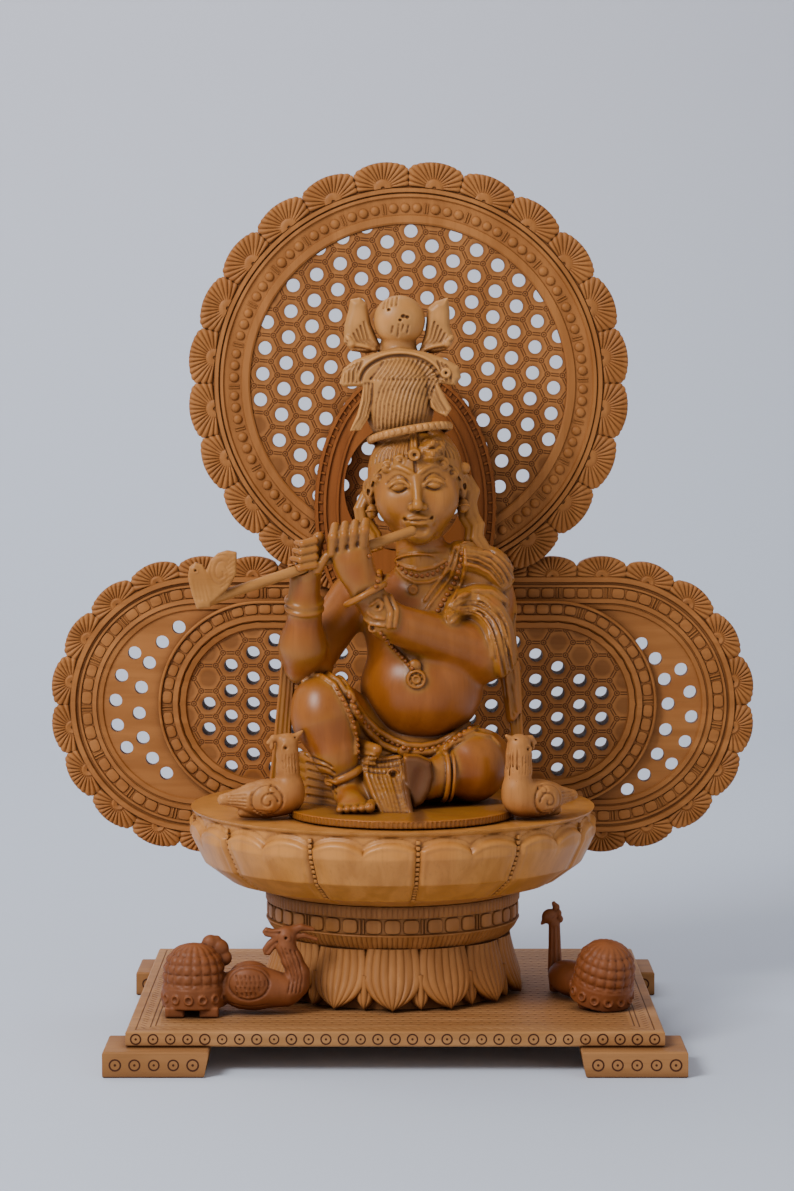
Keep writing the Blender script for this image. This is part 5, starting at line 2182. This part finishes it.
def carve_upright_neck(c):
    """Body with a straight fluted neck and a small leaf-shaped head, facing +X."""
    c.ball((4.5, 0, 6.4), (11.5, 6.0, 6.2), 1)
    c.limb((14.6, 0, 1.5), (15.0, 0, 8), 2.2, 2.5, 0.8)
    c.limb((15.0, 0, 8), (15.6, 0, 23.5), 2.5, 2.0, 0.6)
    for angle in np.arange(8) * TAU / 8:
        dx, dy = 2.6 * math.cos(angle), 2.6 * math.sin(angle)
        c.strand([(14.8 + dx, dy, 3), (15.0 + dx, dy, 8), (15.6 + dx * 0.85, dy * 0.85, 22.5)], 0.6,
                 0.15, True)
    c.ball((16.4, 1.4, 26.2), (2.2, 2.9, 2.6), 0.6)
    c.limb((16.6, 2.4, 25.6), (17.2, 4.0, 23.8), 1.6, 0.6, 0.4)
    for x, y, z, r in ((15.4, -0.6, 29.2, 1.3), (15.2, -1.4, 27.2, 1.2), (14.8, -1.9, 25.2, 1.1),
                       (15.6, 0.2, 30.6, 0.8)):
        c.ball((x, y, z), (r, r, r * 1.2), 0.25)
    c.strand([(14.4, 3.4, 24.6), (14.2, 0.6, 26.4), (14.6, -0.8, 28.6)], 0.35, 0.15, True)


def build_birds():
    """Two small birds on the seat and two large ones on the board."""
    finishes = bpy.context.scene.wood_finishes
    wood = wood_finish("seat_bird_wood", finishes.seat_bird, 0.45)
    for node, place, turn in (("seat_peacock_left", (-46, -37, FIGURE_BASE), 12),
                              ("seat_peacock_right", (45, -36, FIGURE_BASE), 212)):
        c = Carving((-20, -10, -1), (16, 10, 31), 0.36)
        carve_seat_bird(c, stout=turn > 90)
        mesh = turned_about(c.surface(node, (0, 0, 0), 0.9), place, turn)
        finished(node + "_carved", thinned(mesh, 90000), wood, "seat_wood", node)
    wood = wood_finish("bird_wood", finishes.bird, 0.5)
    for node, place, turn in (("board_peacock_left", (-56, -45, 14.1), 0),
                              ("board_peacock_right", (60, -22, 14.1), 119)):
        c = Carving((-28, -13, -1), (29, 13, 33), 0.36)
        carve_tail(c, 0 if turn < 90 else 16)
        if turn < 90:
            carve_long_bird(c)
        else:
            carve_upright_neck(c)
        c.trim(0)
        mesh = turned_about(c.surface(node, (0, 0, 0), 0.9), place, turn)
        finished(node + "_carved", thinned(mesh, 150000), wood, "bird_wood", node)


def build_stage():
    """Pale floor and backdrop, soft studio lights and the camera."""
    scene = bpy.context.scene
    floor = bpy.data.materials.new("pale_floor")
    floor.use_nodes = True
    tree = floor.node_tree
    shader = tree.nodes["Principled BSDF"]
    place = tree.nodes.new("ShaderNodeTexCoord")
    parts = tree.nodes.new("ShaderNodeSeparateXYZ")
    tree.links.new(place.outputs["Object"], parts.inputs[0])
    rise = Value(tree, parts.outputs[2]).step(0.02, 0.6)
    ramp = tree.nodes.new("ShaderNodeMix")
    ramp.data_type = "RGBA"
    tree.links.new(rise.socket, ramp.inputs[0])
    ramp.inputs[6].default_value = (0.61, 0.67, 0.79, 1)
    ramp.inputs[7].default_value = (0.64, 0.655, 0.735, 1)
    tree.links.new(ramp.outputs[2], shader.inputs["Base Color"])
    shader.inputs["Roughness"].default_value = 0.7
    columns, bend = 24, 0.5
    arc = [(0.9 + bend * math.sin(a), bend - bend * math.cos(a))
           for a in np.linspace(0, math.pi / 2, columns)]
    side = [(-1.6, 0), *arc, (0.9 + bend, 3.0)]
    front = [(y / MM, z / MM) for y, z in side]
    points = [(x, y, z) for x in (-2200, 2200) for y, z in front]
    points += [(x, y + 8, z - 8) for x in (-2200, 2200) for y, z in front]
    n = len(front)
    top = grid(2, n)
    rim = [(0, n, 3 * n, 2 * n), (n - 1, 3 * n - 1, 4 * n - 1, 2 * n - 1)]
    k = np.arange(n - 1)
    sides = np.concatenate([np.stack([k, k + 1, k + 1 + 2 * n, k + 2 * n], -1),
                            np.stack([k + n, k + 3 * n, k + 1 + 3 * n, k + 1 + n], -1)])
    shell = Shell().add(points, top, top[:, ::-1] + 2 * n, rim, sides)
    mesh = shell.mesh("backdrop", 60)
    mesh.materials.append(floor)
    backdrop = bpy.data.objects.new("backdrop", mesh)
    scene.collection.objects.link(backdrop)

    world = bpy.data.worlds.new("studio")
    world.use_nodes = True
    shade = world.node_tree.nodes["Background"]
    shade.inputs["Color"].default_value = (1.0, 0.98, 0.97, 1)
    shade.inputs["Strength"].default_value = 0.5
    scene.world = world
    for name, place, aim, power, wide in (
        ("key_light", (-0.72, -0.78, 0.95), (0, 0, 0.12), 17, 0.5),
        ("fill_light", (0.95, -0.9, 0.6), (0, 0, 0.12), 1.5, 0.9),
        ("back_light", (-0.4, 0.7, 1.1), (-0.3, 1.2, 0.2), 7, 1.0),
    ):
        light = bpy.data.lights.new(name, "AREA")
        light.energy, light.size = power, wide
        lamp = bpy.data.objects.new(name, light)
        lamp.location = place
        way = Vector(aim) - Vector(place)
        lamp.rotation_euler = way.to_track_quat("-Z", "Y").to_euler()
        scene.collection.objects.link(lamp)

    lens = bpy.data.cameras.new("camera")
    lens.lens, lens.sensor_width, lens.sensor_fit = 96.73, 36, "AUTO"
    eye = bpy.data.objects.new("camera", lens)
    eye.location = Vector(CAMERA_PLACE) * MM
    eye.rotation_euler = (math.pi / 2 - math.radians(4.10), 0, 0)
    scene.collection.objects.link(eye)
    scene.camera = eye


# Add-on


def builder(identifier, label, work):
    """An operator that runs one builder."""

    def execute(self, context):
        work()
        return {"FINISHED"}

    return type(
        "CARVING_OT_" + identifier,
        (bpy.types.Operator,),
        {
            "__doc__": work.__doc__,
            "bl_idname": "carving." + identifier,
            "bl_label": label,
            "bl_options": {"REGISTER", "UNDO"},
            "execute": execute,
        },
    )


OPERATORS = [
    builder("board", "Board and feet", build_board),
    builder("pedestal", "Pedestal", build_pedestal),
    builder("seat", "Lotus seat", build_seat),
    builder("lower_panel", "Wide panel", build_lower_panel),
    builder("inner_panel", "Inner panel", build_inner_panel),
    builder("disc", "Round disc", build_disc),
    builder("halo", "Halo plate", build_halo),
    builder("body", "Torso and arms", build_body),
    builder("legs", "Legs and mat", build_legs),
    builder("head", "Head", build_head),
    builder("crown", "Crown", build_crown),
    builder("flute", "Flute", build_flute),
    builder("birds", "Birds", build_birds),
    builder("stage", "Stage", build_stage),
]


class CARVING_PT_panel(bpy.types.Panel):
    """Settings and steps of the carving."""

    bl_label = "Carving"
    bl_idname = "CARVING_PT_panel"
    bl_space_type = "VIEW_3D"
    bl_region_type = "UI"
    bl_category = "Carving"

    def draw(self, context):
        for settings in (context.scene.carving_sizes, context.scene.wood_finishes):
            box = self.layout.box()
            for name in settings.__annotations__:
                box.prop(settings, name)
        for operator in OPERATORS:
            self.layout.operator(operator.bl_idname)


CLASSES = [CarvingSizes, WoodFinishes, *OPERATORS, CARVING_PT_panel]


def register():
    """Adds the classes and their settings."""
    for item in CLASSES:
        bpy.utils.register_class(item)
    bpy.types.Scene.carving_sizes = PointerProperty(type=CarvingSizes)
    bpy.types.Scene.wood_finishes = PointerProperty(type=WoodFinishes)


def unregister():
    """Takes the classes and their settings away."""
    del bpy.types.Scene.wood_finishes
    del bpy.types.Scene.carving_sizes
    for item in reversed(CLASSES):
        bpy.utils.unregister_class(item)


def main():
    """Builds every piece in order and keeps the sizes at the start and the end."""
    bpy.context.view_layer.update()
    register()
    for operator in OPERATORS:
        step = getattr(bpy.ops.carving, operator.bl_idname.split(".")[1])
        if step() != {"FINISHED"}:
            raise RuntimeError(f"{operator.bl_label} did not finish")
    for stamp in [thing for thing in bpy.data.objects if thing.get("is_stamp")]:
        bpy.data.objects.remove(stamp)


if __name__ == "__main__":
    main()
